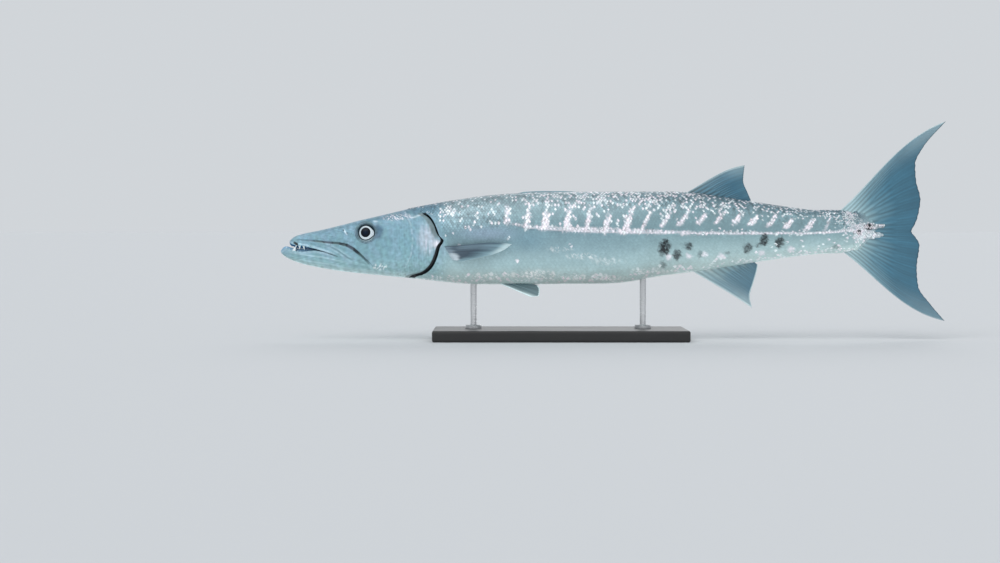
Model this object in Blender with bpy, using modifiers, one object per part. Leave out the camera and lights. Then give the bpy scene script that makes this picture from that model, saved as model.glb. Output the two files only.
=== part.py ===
"""Great barracuda: a life-size still model, held up by two rods on a flat stand.

The body is lofted whole and then parted with thin cuts. Its outlines are written in
thousandths of the total length: along, from the tip of the lower jaw to the tips of the tail,
and up, from the level of the jaw's tip. In the model +X points to the tail, -Y to the
fish's left side and +Z up, in metres.
"""

import bisect
import math
import random

import bmesh
import bpy
from mathutils import Matrix, Vector

# Driving dimensions, in metres
TOTAL_LENGTH = 1.05
PER_MILLE = TOTAL_LENGTH / 1000
TAIL_CLEARANCE = 0.030
GAP = 0.0003
FAR = 0.2

# Body outline, in thousandths: (along, value)
BACK = (
    (0, 2.5), (5, 9.5), (13.5, 17.8), (24, 24.5), (58.7, 32.4), (106.9, 44), (156.6, 56.3),
    (209.3, 68.4), (269.6, 78.9), (329.8, 86.4), (405, 89.8), (585.8, 90.7), (616, 89.5),
    (653.6, 84.3), (713.8, 75), (766.6, 67.2), (804.2, 63), (842, 63), (862, 60), (884, 46),
)
BELLY = (
    (0, -2.5), (9.8, -9), (24, -15.1), (37.6, -19.3), (88.9, -28.6), (149.1, -35.2),
    (209.3, -40.7), (269.6, -47), (299.7, -48.5), (480.4, -47.6), (510.5, -46.1),
    (570.8, -36.1), (631, -28.3), (721.4, -14.2), (781.6, -5.7), (811.8, -2.7), (842, -1.5),
    (862, 2), (884, 16),
)
HALF_WIDTH = (
    (0, 3), (14, 8), (30, 11.5), (60, 16), (90, 20), (130, 26), (160, 30), (200, 35),
    (240, 38.5), (300, 41), (400, 42), (480, 41), (560, 38), (640, 32), (720, 25), (780, 19.5),
    (830, 14), (850, 10.5), (870, 5), (884, 2),
)
WIDEST_AT = ((0, 0.5), (60, 0.45), (150, 0.45), (300, 0.5), (884, 0.5))
UPPER_FULLNESS = ((0, 2.4), (30, 3.0), (130, 3.4), (200, 2.6), (300, 2.2), (884, 2.0))
LOWER_FULLNESS = ((0, 2.2), (130, 2.3), (300, 2.2), (884, 2.0))
STALK_END = 884
RING_POINTS = 28
STATION_STEPS = ((0, 3), (10, 6), (30, 12), (180, 14), (260, 30), (560, 22), (780, 13))

# Lines of the head and the cuts between nodes, in thousandths
UPPER_LIP = (
    (13.5, 12.8), (21.1, 10.8), (36.1, 9), (51.2, 5.4), (66.3, 0.9), (81.3, -4.3), (86.5, -6.6),
)
LOWER_LIP = (
    (-4, 1.5), (3, 4), (8.5, 5.6), (16.6, 3), (24.1, 1.1), (33.1, 0.6), (51.2, 2.4),
    (66.3, 0), (81.3, -4.9),
)
SNOUT_FRONT = ((-4, 24), (11, 20), (12.5, 15.5))
JAW_SEAM = ((80, -4.2), (86, -6.5), (112, -13), (137, -21), (160, -31), (185, -52))
JAW_GROOVE = (
    (12, 27), (20, 18.3), (46.7, 17.3), (88.9, 13.1), (101, 10.5), (111.4, 4.5), (122, -4.5),
    (129, -11), (141, -26),
)
PREOPERCLE_EDGE = (
    (191.3, 57.2), (197.3, 40.7), (200.3, 18.1), (197.3, -4.5), (188.3, -24.1), (176.2, -34),
)
GILL_COVER_EDGE = (
    (209.3, 57.2), (222.9, 51.2), (230.4, 40.7), (234.9, 28.6), (241, 18.1), (234.9, 9),
    (231.2, -3), (224.4, -18.1), (212.3, -29.4), (196, -35.2),
)
HEAD_LINE = (
    (208, 84), (214, 62), (228.9, 49.7), (235.7, 36.1), (240.2, 24.1), (246.2, 17.3),
    (241, 7.5), (237.2, -6), (230.4, -21.1), (216.9, -33.9), (203, -37.5), (186, -52),
)
TRUNK_CUT_ALONG = 590
STALK_CUT_ALONG = 800
NODE_CENTRES = {
    "head": (127, 15), "upper_jaw": (76, -2), "lower_jaw": (86, -20), "trunk_front": (400, 20),
    "trunk_rear": (700, 30), "tail_stalk": (842, 30),
}
LINE_STEPS = 3
GILL_COVER_THICKNESS = 0.006
GILL_SLIT_DEPTH = 0.009
ISTHMUS_HALF_WIDTH = 0.004

# Eyes, nostrils, lips and teeth
EYE_CENTRE = (128.5, 29.8)
EYE_RADIUS = 0.0145
EYE_HALF_DEPTH = 0.010
EYE_BULGE = 0.0035
ORBIT_RADIUS = 0.0160
ORBIT_RIM_RADIUS = 0.0015
NOSTRIL_CENTRE = (96.4, 32.4)
NOSTRIL_RADIUS = 0.0016
NOSTRIL_RIM_RADIUS = 0.0008
RIM_POINTS = 18
LIP_RADIUS = 0.0013
LIP_ENDS = (16, 70)
LIP_POINTS = 12
TOOTH_RADIUS = 0.0011
FANG_RADIUS = 0.0019
TOOTH_ROOT = 0.003
LOWER_FANG = (23.5, 0.0078)
UPPER_FANGS = ((28.8, 0.0046), (35.8, 0.0056))
TOOTH_PLACES = (30, 52)
TEETH_A_ROW = 6
TOOTH_INSET = 0.0032

# Fins, in thousandths: lines of ray bases and of ray tips, first ray to last
FIRST_DORSAL_BASE = ((337, 84), (402, 86))
FIRST_DORSAL_TIPS = ((366, 90.6), (392, 91.7), (420, 91.7), (444, 90.9))
SECOND_DORSAL_BASE = ((600, 84), (684, 73))
SECOND_DORSAL_TIPS = ((698, 130.6), (695.8, 107.5), (702.4, 89.2), (707.5, 77.4))
ANAL_BASE = ((612, -24), (706, -10))
ANAL_TIPS = ((709.9, -84.3), (706.4, -68), (712.4, -44), (716.5, -29), (718, -19.5))
TAIL_MIDDLE = 31
UPPER_TAIL_BASE = ((836, 57), (864, 50), (868, TAIL_MIDDLE))
UPPER_TAIL_TIPS = (
    (1000, 196.5), (966.1, 157.4), (954.6, 132.1), (955.7, 109), (962.6, 79.1), (958.1, 51.4),
    (948.8, TAIL_MIDDLE),
)
LOWER_TAIL_BASE = ((841, 4), (864, 12), (868, TAIL_MIDDLE))
LOWER_TAIL_TIPS = (
    (1000, -103.9), (977.7, -77.9), (960.4, -52.4), (957.6, -24.8), (961.4, 9.8),
    (948.8, TAIL_MIDDLE),
)
TAIL_BOW = 80
PECTORAL_BASE = ((247, 9), (258, -14))
PECTORAL_TIPS = ((347.9, 12), (335, 1), (314.8, -7.5), (291, -13), (276, -15.5))
PECTORAL_LIFT = 0.011
PECTORAL_SINK = 0.004
PELVIC_BASE = ((320.8, 6), (346, 6))
PELVIC_TIPS = ((376, -20.6), (388, -19.2), (389.8, -9), (386.5, -2))
PELVIC_SPREAD = 0.010
PELVIC_SPLAY = math.radians(25)
FIN_ROWS = 5
MEMBRANE_REACH = 0.985
MEMBRANE_SHARE = 0.45
RIDGE_START = 0.4
RIDGE_HALF_WIDTH = 0.28
MEMBRANE_LEAST = 0.0003

# Stand, in metres
STAND_ALONG = 420
BASE_SIZE = (0.40, 0.15, 0.018)
BASE_EDGE = 0.003
ROD_PLACES = {"stand_rod_front": 290, "stand_rod_rear": 545}
ROD_RADIUS = 0.005
ROD_COLLAR_RADIUS = 0.013
ROD_COLLAR_HEIGHT = 0.006
ROD_SUNK_IN_BODY = 0.020
ROD_SIDES = 32

JAW_LEVEL = TAIL_CLEARANCE - LOWER_TAIL_TIPS[0][1] * PER_MILLE


def curve_value(table, at):
    """Value of a smooth curve through the table's points that never overshoots them."""
    places = [point[0] for point in table]
    at = min(max(at, places[0]), places[-1])
    step = min(bisect.bisect_right(places, at), len(table) - 1) - 1

    def rise(index):
        return (table[index + 1][1] - table[index][1]) / (places[index + 1] - places[index])

    def slope(index):
        if index == 0 or index == len(table) - 1:
            return rise(min(index, len(table) - 2))
        before, after = rise(index - 1), rise(index)
        return 0.0 if before * after <= 0 else 2 * before * after / (before + after)

    width = places[step + 1] - places[step]
    share = (at - places[step]) / width
    rest = 1 - share
    return (
        table[step][1] * rest * rest * (1 + 2 * share)
        + table[step + 1][1] * share * share * (1 + 2 * rest)
        + width * share * rest * (slope(step) * rest - slope(step + 1) * share)
    )


def line_point(points, share):
    """Point at a share of the way from the line's first point to its last, on a smooth curve."""
    count = len(points) - 1
    return tuple(
        curve_value([(index / count, point[axis]) for index, point in enumerate(points)], share)
        for axis in (0, 1)
    )


def smooth_line(points):
    """The line's points with more between them on a smooth curve, LINE_STEPS to each run."""
    count = (len(points) - 1) * LINE_STEPS
    return [line_point(points, index / count) for index in range(count + 1)]


def place(along, up, y=0.0):
    """World position of a point given along and up in thousandths and across in metres."""
    return Vector(((along - 500) * PER_MILLE, y, JAW_LEVEL + up * PER_MILLE))


def section_shape(along):
    """Half width, widest level, rise, drop and the two fullnesses of the body's section."""
    top = curve_value(BACK, along)
    bottom = curve_value(BELLY, along)
    widest = bottom + (top - bottom) * curve_value(WIDEST_AT, along)
    return (
        curve_value(HALF_WIDTH, along), widest, top - widest, widest - bottom,
        curve_value(UPPER_FULLNESS, along), curve_value(LOWER_FULLNESS, along),
    )


def section(along, grow):
    """Ring of points round the body, moved outward by grow metres."""
    half, widest, rise, drop, upper, lower = section_shape(along)
    ring = []
    for index in range(RING_POINTS):
        angle = 2 * math.pi * index / RING_POINTS
        side, height = math.cos(angle), math.sin(angle)
        power = 2 / (upper if height >= 0 else lower)
        reach = rise if height >= 0 else drop
        y = math.copysign(abs(side) ** power, side) * half * PER_MILLE
        ring.append(place(along, widest + math.copysign(abs(height) ** power, height) * reach, y))
    grown = []
    for index, point in enumerate(ring):
        chord = ring[(index + 1) % RING_POINTS] - ring[index - 1]
        outward = Vector((0, chord.z, -chord.y)).normalized()
        grown.append(point + outward * grow)
    return grown


def flank(along, up):
    """Half width of the body in metres at a given height."""
    half, widest, rise, drop, upper, lower = section_shape(along)
    reach, power = (rise, upper) if up >= widest else (drop, lower)
    share = min(abs(up - widest) / reach, 1.0)
    return half * PER_MILLE * (1 - share ** power) ** (1 / power)


def stations():
    """Places of the body's rings, closest together at the head and the tail's root."""
    places = []
    ends = [start for start, _ in STATION_STEPS[1:]] + [STALK_END]
    for (start, step), end in zip(STATION_STEPS, ends):
        count = max(1, round((end - start) / step))
        places += [start + (end - start) * index / count for index in range(count)]
    return places + [STALK_END]


def new_object(name, bm):
    """Object from a bmesh, in the scene's own collection."""
    mesh = bpy.data.meshes.new(name)
    bmesh.ops.recalc_face_normals(bm, faces=bm.faces)
    bm.to_mesh(mesh)
    bm.free()
    body = bpy.data.objects.new(name, mesh)
    bpy.context.scene.collection.objects.link(body)
    return body


def body_solid(name, grow=0.0):
    """The whole body as one loft, closed at the jaw's tip and at the end of the tail stalk."""
    bm = bmesh.new()
    rings = [[bm.verts.new(point) for point in section(along, grow)] for along in stations()]
    for ring, following in zip(rings, rings[1:]):
        for index in range(RING_POINTS):
            after = (index + 1) % RING_POINTS
            bm.faces.new((ring[index], ring[after], following[after], following[index]))
    bm.faces.new(rings[0])
    bm.faces.new(rings[-1])
    bmesh.ops.triangulate(bm, faces=bm.faces)
    return new_object(name, bm)


def prism(name, outline, near, far):
    """Closed prism of an outline along and up, between two places across."""
    bm = bmesh.new()
    face = bm.faces.new([bm.verts.new(place(along, up, near)) for along, up in outline])
    swept = bmesh.ops.extrude_face_region(bm, geom=[face])
    moved = [item for item in swept["geom"] if isinstance(item, bmesh.types.BMVert)]
    bmesh.ops.translate(bm, verts=moved, vec=(0, far - near, 0))
    bmesh.ops.triangulate(bm, faces=bm.faces)
    return new_object(name, bm)


def curtain(name, line):
    """Thin wall across the whole body along a line, which parts the body there."""
    bm = bmesh.new()
    rows = [[bm.verts.new(place(along, up, side * FAR)) for side in (-1, 1)] for along, up in line]
    for row, following in zip(rows, rows[1:]):
        bm.faces.new((row[0], row[1], following[1], following[0]))
    wall = new_object(name, bm)
    solidify = wall.modifiers.new("thickness", "SOLIDIFY")
    solidify.thickness = GAP
    solidify.offset = 0
    solidify.use_even_offset = True
    apply_modifier(wall, solidify)
    return wall


def apply_modifier(body, modifier):
    """Apply one modifier of an object."""
    bpy.context.view_layer.objects.active = body
    bpy.ops.object.modifier_apply(modifier=modifier.name)


def combine(body, tool, operation):
    """Boolean of one object with a tool, which is then removed."""
    modifier = body.modifiers.new(operation, "BOOLEAN")
    modifier.operation = operation
    modifier.object = tool
    apply_modifier(body, modifier)
    bpy.data.objects.remove(tool)


def fuse(body, pieces):
    """One Boolean union of an object with a collection of closed pieces, which are removed."""
    added = bpy.data.collections.new("added_pieces")
    bpy.context.scene.collection.children.link(added)
    for piece in pieces:
        bpy.context.scene.collection.objects.unlink(piece)
        added.objects.link(piece)
    modifier = body.modifiers.new("union", "BOOLEAN")
    modifier.operation = "UNION"
    modifier.operand_type = "COLLECTION"
    modifier.collection = added
    apply_modifier(body, modifier)
    for piece in pieces:
        bpy.data.objects.remove(piece)
    bpy.data.collections.remove(added)
    keep_largest(body)


def islands(bm):
    """Closed surfaces of a bmesh, each a list of its faces."""
    left = set(bm.faces)
    found = []
    while left:
        island = [left.pop()]
        for face in island:
            for edge in face.edges:
                for other in edge.link_faces:
                    if other in left:
                        left.remove(other)
                        island.append(other)
        found.append(island)
    return found


def volume(faces):
    """Volume inside a closed surface."""
    total = 0.0
    for face in faces:
        first = face.verts[0].co
        for second, third in zip(face.verts[1:], face.verts[2:]):
            total += first.dot(second.co.cross(third.co)) / 6
    return total


def keep_largest(body):
    """Drop all but the largest closed surface of an object."""
    bm = bmesh.new()
    bm.from_mesh(body.data)
    found = sorted(islands(bm), key=volume)
    for island in found[:-1]:
        bmesh.ops.delete(bm, geom=island, context="FACES")
    bm.to_mesh(body.data)
    bm.free()


def parted(body):
    """The separate closed surfaces of an object as objects named by where they lie."""
    source = bmesh.new()
    source.from_mesh(body.data)
    nodes = {}
    for island in islands(source):
        bm = bmesh.new()
        copies = {}
        for face in island:
            for vert in face.verts:
                if vert not in copies:
                    copies[vert] = bm.verts.new(vert.co)
            bm.faces.new([copies[vert] for vert in face.verts])
        lows = Vector(min(vert.co[axis] for vert in bm.verts) for axis in range(3))
        highs = Vector(max(vert.co[axis] for vert in bm.verts) for axis in range(3))
        centre = (lows + highs) / 2
        name = min(NODE_CENTRES, key=lambda node: (place(*NODE_CENTRES[node]) - centre).length)
        if name in nodes and len(nodes[name].data.polygons) > len(island):
            bm.free()
            continue
        nodes[name] = new_object(name, bm)
    source.free()
    bpy.data.objects.remove(body)
    return nodes


def tube(name, points, radius, cyclic=False):
    """Closed tube along points, as a mesh."""
    curve = bpy.data.curves.new(name, "CURVE")
    curve.dimensions = "3D"
    curve.bevel_depth = radius
    curve.bevel_resolution = 1
    curve.use_fill_caps = True
    spline = curve.splines.new("POLY")
    spline.points.add(len(points) - 1)
    for target, point in zip(spline.points, points):
        target.co = (*point, 1.0)
    spline.use_cyclic_u = cyclic
    route = bpy.data.objects.new(name, curve)
    bpy.context.scene.collection.objects.link(route)
    evaluated = route.evaluated_get(bpy.context.evaluated_depsgraph_get())
    bm = bmesh.new()
    bm.from_mesh(bpy.data.meshes.new_from_object(evaluated))
    bmesh.ops.remove_doubles(bm, verts=bm.verts, dist=0.00001)
    bpy.data.objects.remove(route)
    return new_object(name, bm)


def ball(name, centre, radii, tilt=0.0):
    """Ellipsoid from a UV sphere."""
    bm = bmesh.new()
    turn = Matrix.Translation(centre) @ Matrix.Rotation(tilt, 4, "X") @ Matrix.Diagonal((*radii, 1))
    turned = turn @ Matrix.Rotation(math.pi / 2, 4, "X")
    bmesh.ops.create_uvsphere(bm, u_segments=16, v_segments=10, radius=1, matrix=turned)
    return new_object(name, bm)


def cone(name, base, tip, radius):
    """Tooth from a cone with a fine, blunt point."""
    axis = tip - base
    bm = bmesh.new()
    turn = Matrix.Translation((base + tip) / 2) @ axis.to_track_quat("Z", "Y").to_matrix().to_4x4()
    bmesh.ops.create_cone(
        bm, cap_ends=True, segments=6, radius1=radius, radius2=radius * 0.12,
        depth=axis.length, matrix=turn,
    )
    return new_object(name, bm)


def fin(name, base_line, tip_line, ray_count, bow, root, edge, lay):
    """A fin as one closed blade, its rays ridges in the surface of both faces.

    Columns of points run out along each ray and along the membrane close by it. The first ray
    is bowed outward by bow thousandths, and lay puts a point in the world.
    """
    pitch = 1 / (ray_count - 1)
    places = [(pitch * ray, True) for ray in range(ray_count)]
    places += [(across + RIDGE_HALF_WIDTH * pitch, False) for across, _ in places[:ray_count - 1]]
    places += [(across - RIDGE_HALF_WIDTH * pitch, False) for across, _ in places[1:ray_count]]
    places.sort()
    columns = len(places)
    first_run = Vector(line_point(tip_line, 0)) - Vector(line_point(base_line, 0))
    last_run = Vector(line_point(tip_line, 1)) - Vector(line_point(base_line, 1))
    outward = Vector((-first_run.y, first_run.x)).normalized()
    if outward.dot(last_run) > 0:
        outward.negate()
    bm = bmesh.new()
    faces = []
    for side in (-1, 1):
        grid = []
        for across, on_ray in places:
            start = Vector(line_point(base_line, across))
            end = Vector(line_point(tip_line, across))
            grid.append([])
            for row in range(FIN_ROWS + 1):
                out = row / FIN_ROWS * (1 if on_ray else MEMBRANE_REACH)
                point = start.lerp(end, out)
                point += outward * bow * out * out * (1 - out) * (1 - across) ** 1.5
                half = (root * (1 - out) + edge * out) / 2
                if not on_ray:
                    sunk = (1 - MEMBRANE_SHARE) * min(out / RIDGE_START, 1)
                    half = max(half * (1 - sunk), MEMBRANE_LEAST)
                grid[-1].append(bm.verts.new(lay(point.x, point.y, out, side * half)))
        faces.append(grid)
        for column in range(columns - 1):
            for row in range(FIN_ROWS):
                a, b = grid[column][row], grid[column + 1][row]
                c, d = grid[column + 1][row + 1], grid[column][row + 1]
                bm.faces.new((a, b, c))
                bm.faces.new((a, c, d))
    near, far = faces
    rim = [(column, 0) for column in range(columns)]
    rim += [(columns - 1, row) for row in range(1, FIN_ROWS + 1)]
    rim += [(column, FIN_ROWS) for column in range(columns - 2, -1, -1)]
    rim += [(0, row) for row in range(FIN_ROWS - 1, 0, -1)]
    for (c0, r0), (c1, r1) in zip(rim, rim[1:] + rim[:1]):
        bm.faces.new((near[c0][r0], near[c1][r1], far[c1][r1]))
        bm.faces.new((near[c0][r0], far[c1][r1], far[c0][r0]))
    return new_object(name, bm)


def upright(along, up, _, offset):
    """Fins that stand in the fish's middle plane."""
    return place(along, up, offset)


def make_head(nodes):
    """Orbit rims, nostrils and sockets of the head, and the two eyes."""
    head = nodes["head"]
    rims = []
    for side in (-1, 1):
        for middle, radius, rim in (
            (EYE_CENTRE, ORBIT_RADIUS, ORBIT_RIM_RADIUS),
            (NOSTRIL_CENTRE, NOSTRIL_RADIUS, NOSTRIL_RIM_RADIUS),
        ):
            points = []
            for index in range(RIM_POINTS):
                angle = 2 * math.pi * index / RIM_POINTS
                along = middle[0] + radius * math.cos(angle) / PER_MILLE
                up = middle[1] + radius * math.sin(angle) / PER_MILLE
                points.append(place(along, up, side * (flank(along, up) - rim / 2)))
            rims.append(tube("rim", points, rim, cyclic=True))
    fuse(head, rims)
    for side, word in ((-1, "left"), (1, "right")):
        reach = flank(*EYE_CENTRE) - EYE_HALF_DEPTH + EYE_BULGE
        centre = place(*EYE_CENTRE, side * reach)
        radii = Vector((EYE_RADIUS, EYE_HALF_DEPTH, EYE_RADIUS))
        nodes["eye_" + word] = ball("eye_" + word, centre, radii)
        combine(head, ball("socket", centre, radii + Vector((GAP, GAP, GAP))), "DIFFERENCE")
        pit = place(*NOSTRIL_CENTRE, side * flank(*NOSTRIL_CENTRE))
        radii = Vector((1, 1, 1)) * (NOSTRIL_RADIUS - NOSTRIL_RIM_RADIUS / 2)
        combine(head, ball("pit", pit, radii), "DIFFERENCE")
    keep_largest(head)


def lip(side, line, away):
    """Raised edge of a lip along one side of a jaw, its ends sunk in the jaw."""
    points = []
    for index in range(LIP_POINTS):
        share = index / (LIP_POINTS - 1)
        along = LIP_ENDS[0] + (LIP_ENDS[1] - LIP_ENDS[0]) * share
        up = curve_value(line, along) + away * (LIP_RADIUS + GAP) / PER_MILLE
        sunk = LIP_RADIUS * (0.4 + 1.6 * (2 * share - 1) ** 8)
        points.append(place(along, up, side * (flank(along, up) - sunk)))
    return tube("lip", points, LIP_RADIUS)


def tooth(side, line, along, length, radius, away):
    """One tooth on the jaw's rim, its root sunk in the jaw."""
    up = curve_value(line, along)
    inset = min(TOOTH_INSET, flank(along, up) / 2)
    y = side * (flank(along, up) - inset)
    base = place(along, up, y) + Vector((0, 0, TOOTH_ROOT * away))
    tip = place(along, up, y) - Vector((0, 0, length * away))
    return cone("tooth", base, tip, radius)


def make_jaws(nodes):
    """Lips and teeth of both jaws."""
    lengths = random.Random(5)
    start, end = TOOTH_PLACES
    pitch = (end - start) / TEETH_A_ROW
    for name, line, fangs, away, shift in (
        ("upper_jaw", UPPER_LIP, UPPER_FANGS, 1, 0.5),
        ("lower_jaw", LOWER_LIP, (LOWER_FANG,), -1, 0.0),
    ):
        added = [lip(side, line, away) for side in (-1, 1)]
        row = [start + pitch * (index + shift) for index in range(TEETH_A_ROW)]
        row = [along for along in row if all(abs(along - fang[0]) > 3 for fang in fangs)]
        for along in row:
            gape = (curve_value(UPPER_LIP, along) - curve_value(LOWER_LIP, along)) * PER_MILLE
            length = gape * lengths.uniform(0.3, 0.42)
            added += [tooth(side, line, along, length, TOOTH_RADIUS, away) for side in (-1, 1)]
        for along, length in fangs:
            added += [tooth(side, line, along, length, FANG_RADIUS, away) for side in (-1, 1)]
        fuse(nodes[name], added)


def gill_pocket(name, outline, side, depth, grow):
    """Space under the body's surface inside an outline, down to a depth."""
    near, far = side * (ISTHMUS_HALF_WIDTH - grow), side * FAR
    pocket = prism(name, outline, near, far)
    combine(pocket, body_solid("core", -depth), "DIFFERENCE")
    return pocket


def grown_outline(outline, grow):
    """An outline that runs clockwise, moved outward all round by grow thousandths."""
    points = [Vector(point) for point in outline]
    moved = []
    for index, point in enumerate(points):
        back = (point - points[index - 1]).normalized()
        ahead = (points[(index + 1) % len(points)] - point).normalized()
        outward = Vector((-back.y - ahead.y, back.x + ahead.x)).normalized()
        moved.append(point + outward * grow / outward.dot(Vector((-back.y, back.x))))
    return moved


def make_gills(body, nodes):
    """Gill covers as curved plates, and the slit that lies open behind each."""
    edge, shoulder = smooth_line(GILL_COVER_EDGE), smooth_line(HEAD_LINE)
    plate = edge + smooth_line(PREOPERCLE_EDGE)[::-1]
    pocket = grown_outline(plate, GAP / PER_MILLE)
    slit = edge[LINE_STEPS:] + shoulder[2 * LINE_STEPS:-LINE_STEPS][::-1]
    for side, word in ((-1, "left"), (1, "right")):
        name = "gill_cover_" + word
        cover = gill_pocket(name, plate, side, GILL_COVER_THICKNESS, 0.0)
        combine(cover, body_solid("whole"), "INTERSECT")
        keep_largest(cover)
        nodes[name] = cover
        space = gill_pocket("pocket", pocket, side, GILL_COVER_THICKNESS + GAP, GAP)
        combine(body, space, "DIFFERENCE")
        opening = gill_pocket("slit", slit, side, GILL_SLIT_DEPTH, -GAP)
        combine(body, opening, "DIFFERENCE")


def make_body():
    """The body's nodes, parted from one loft."""
    nodes = {}
    body = body_solid("body")
    mouth = list(SNOUT_FRONT) + smooth_line(UPPER_LIP) + smooth_line(LOWER_LIP)[::-1]
    combine(body, prism("mouth", mouth, -FAR, FAR), "DIFFERENCE")
    make_gills(body, nodes)
    for line in (
        JAW_SEAM, smooth_line(JAW_GROOVE), smooth_line(HEAD_LINE),
        ((TRUNK_CUT_ALONG, -200), (TRUNK_CUT_ALONG, 200)),
        ((STALK_CUT_ALONG, -200), (STALK_CUT_ALONG, 200)),
    ):
        combine(body, curtain("cut", line), "DIFFERENCE")
    nodes.update(parted(body))
    make_head(nodes)
    make_jaws(nodes)
    return nodes


def make_fins():
    """All fins, each cut where it meets the body."""
    fins = [
        fin("first_dorsal_fin", FIRST_DORSAL_BASE, FIRST_DORSAL_TIPS, 5, 0, 0.005, 0.0016, upright),
        fin("second_dorsal_fin", SECOND_DORSAL_BASE, SECOND_DORSAL_TIPS, 10, 34, 0.004, 0.001,
            upright),
        fin("anal_fin", ANAL_BASE, ANAL_TIPS, 10, 6, 0.004, 0.001, upright),
        fin("caudal_fin_upper", UPPER_TAIL_BASE, UPPER_TAIL_TIPS, 10, TAIL_BOW, 0.006, 0.0014,
            upright),
        fin("caudal_fin_lower", LOWER_TAIL_BASE, LOWER_TAIL_TIPS, 10, TAIL_BOW, 0.006, 0.0014,
            upright),
    ]
    for side, word in ((-1, "left"), (1, "right")):

        def along_flank(along, up, out, offset, side=side):
            lift = PECTORAL_LIFT - (PECTORAL_LIFT + PECTORAL_SINK) * (1 - out) ** 3
            return place(along, up, side * (flank(along, up) + lift + offset))

        def splayed(along, drop, out, offset, side=side):
            level = curve_value(BELLY, along)
            y = PELVIC_SPREAD - drop * PER_MILLE * math.sin(PELVIC_SPLAY)
            shift = Vector((0, side * math.cos(PELVIC_SPLAY), math.sin(PELVIC_SPLAY))) * offset
            return place(along, level + drop * math.cos(PELVIC_SPLAY), side * y) + shift

        fins.append(fin("pectoral_fin_" + word, PECTORAL_BASE, PECTORAL_TIPS, 11, 24, 0.004, 0.0012,
                        along_flank))
        fins.append(fin("pelvic_fin_" + word, PELVIC_BASE, PELVIC_TIPS, 6, 0, 0.0035, 0.0012,
                        splayed))
    for blade in fins:
        combine(blade, body_solid("whole", GAP), "DIFFERENCE")
        keep_largest(blade)
    tail_cut = curtain("cut", ((800, TAIL_MIDDLE), (1010, TAIL_MIDDLE)))
    other_cut = tail_cut.copy()
    other_cut.data = tail_cut.data.copy()
    bpy.context.scene.collection.objects.link(other_cut)
    for blade, cut in ((fins[3], tail_cut), (fins[4], other_cut)):
        combine(blade, cut, "DIFFERENCE")
        keep_largest(blade)
    return {blade.name: blade for blade in fins}


def make_stand():
    """A flat base with two turned rods up to the belly."""
    nodes = {}
    length, width, height = BASE_SIZE
    centre = place(STAND_ALONG, 0)
    bpy.ops.mesh.primitive_cube_add(size=1, location=(centre.x, 0, height / 2))
    base = bpy.context.object
    base.name = "stand_base"
    base.data.transform(Matrix.Diagonal((length, width, height, 1)))
    bevel = base.modifiers.new("corners", "BEVEL")
    bevel.width = BASE_EDGE
    bevel.segments = 3
    bevel.limit_method = "ANGLE"
    nodes["stand_base"] = base
    for name, along in ROD_PLACES.items():
        foot = height + GAP
        top = place(along, curve_value(BELLY, along)).z + ROD_SUNK_IN_BODY
        profile = (
            (0, top), (ROD_RADIUS, top), (ROD_RADIUS, foot + ROD_COLLAR_HEIGHT),
            (ROD_COLLAR_RADIUS - 0.001, foot + ROD_COLLAR_HEIGHT),
            (ROD_COLLAR_RADIUS, foot + ROD_COLLAR_HEIGHT - 0.001), (ROD_COLLAR_RADIUS, foot),
            (0, foot),
        )
        bm = bmesh.new()
        points = [bm.verts.new((radius, 0, z)) for radius, z in profile]
        for point, following in zip(points, points[1:]):
            bm.edges.new((point, following))
        rod = new_object(name, bm)
        turn = rod.modifiers.new("turn", "SCREW")
        turn.steps = ROD_SIDES
        turn.render_steps = ROD_SIDES
        turn.use_merge_vertices = True
        turn.merge_threshold = 0.0001
        apply_modifier(rod, turn)
        rod.data.transform(Matrix.Translation((place(along, 0).x, 0, 0)))
        combine(rod, body_solid("whole", GAP), "DIFFERENCE")
        keep_largest(rod)
        nodes[name] = rod
    return nodes


def material(name, colour, roughness, metallic):
    """Principled material."""
    made = bpy.data.materials.new(name)
    made.use_nodes = True
    shader = made.node_tree.nodes["Principled BSDF"]
    shader.inputs["Base Color"].default_value = (*colour, 1)
    shader.inputs["Roughness"].default_value = roughness
    shader.inputs["Metallic"].default_value = metallic
    return made


def finish(nodes):
    """Materials, shading and the object's own collection."""
    skin = material("silver_skin", (0.42, 0.52, 0.55), 0.35, 0.3)
    membrane = material("fin_membrane", (0.12, 0.20, 0.24), 0.5, 0.0)
    eye = material("eye_glass", (0.70, 0.74, 0.74), 0.1, 0.0)
    plate = material("stand_paint", (0.03, 0.03, 0.035), 0.5, 0.0)
    steel = material("stand_steel", (0.55, 0.56, 0.57), 0.3, 1.0)
    kept = bpy.data.collections.new("barracuda")
    bpy.context.scene.collection.children.link(kept)
    for name, node in nodes.items():
        for holder in list(node.users_collection):
            holder.objects.unlink(node)
        kept.objects.link(node)
        node.data.name = name
        node.data.materials.clear()
        if "_fin" in name:
            node.data.materials.append(membrane)
        elif name.startswith("eye_"):
            node.data.materials.append(eye)
        elif name == "stand_base":
            node.data.materials.append(plate)
        elif name.startswith("stand_rod"):
            node.data.materials.append(steel)
        else:
            node.data.materials.append(skin)
        node.data.shade_smooth()
        node.data.set_sharp_from_angle(angle=math.radians(40))


for leftover in list(bpy.data.objects):
    bpy.data.objects.remove(leftover)
finish({**make_body(), **make_fins(), **make_stand()})
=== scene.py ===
"""Great barracuda, a life-size still model on a plain display stand, seen from its left side."""

import math

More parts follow.
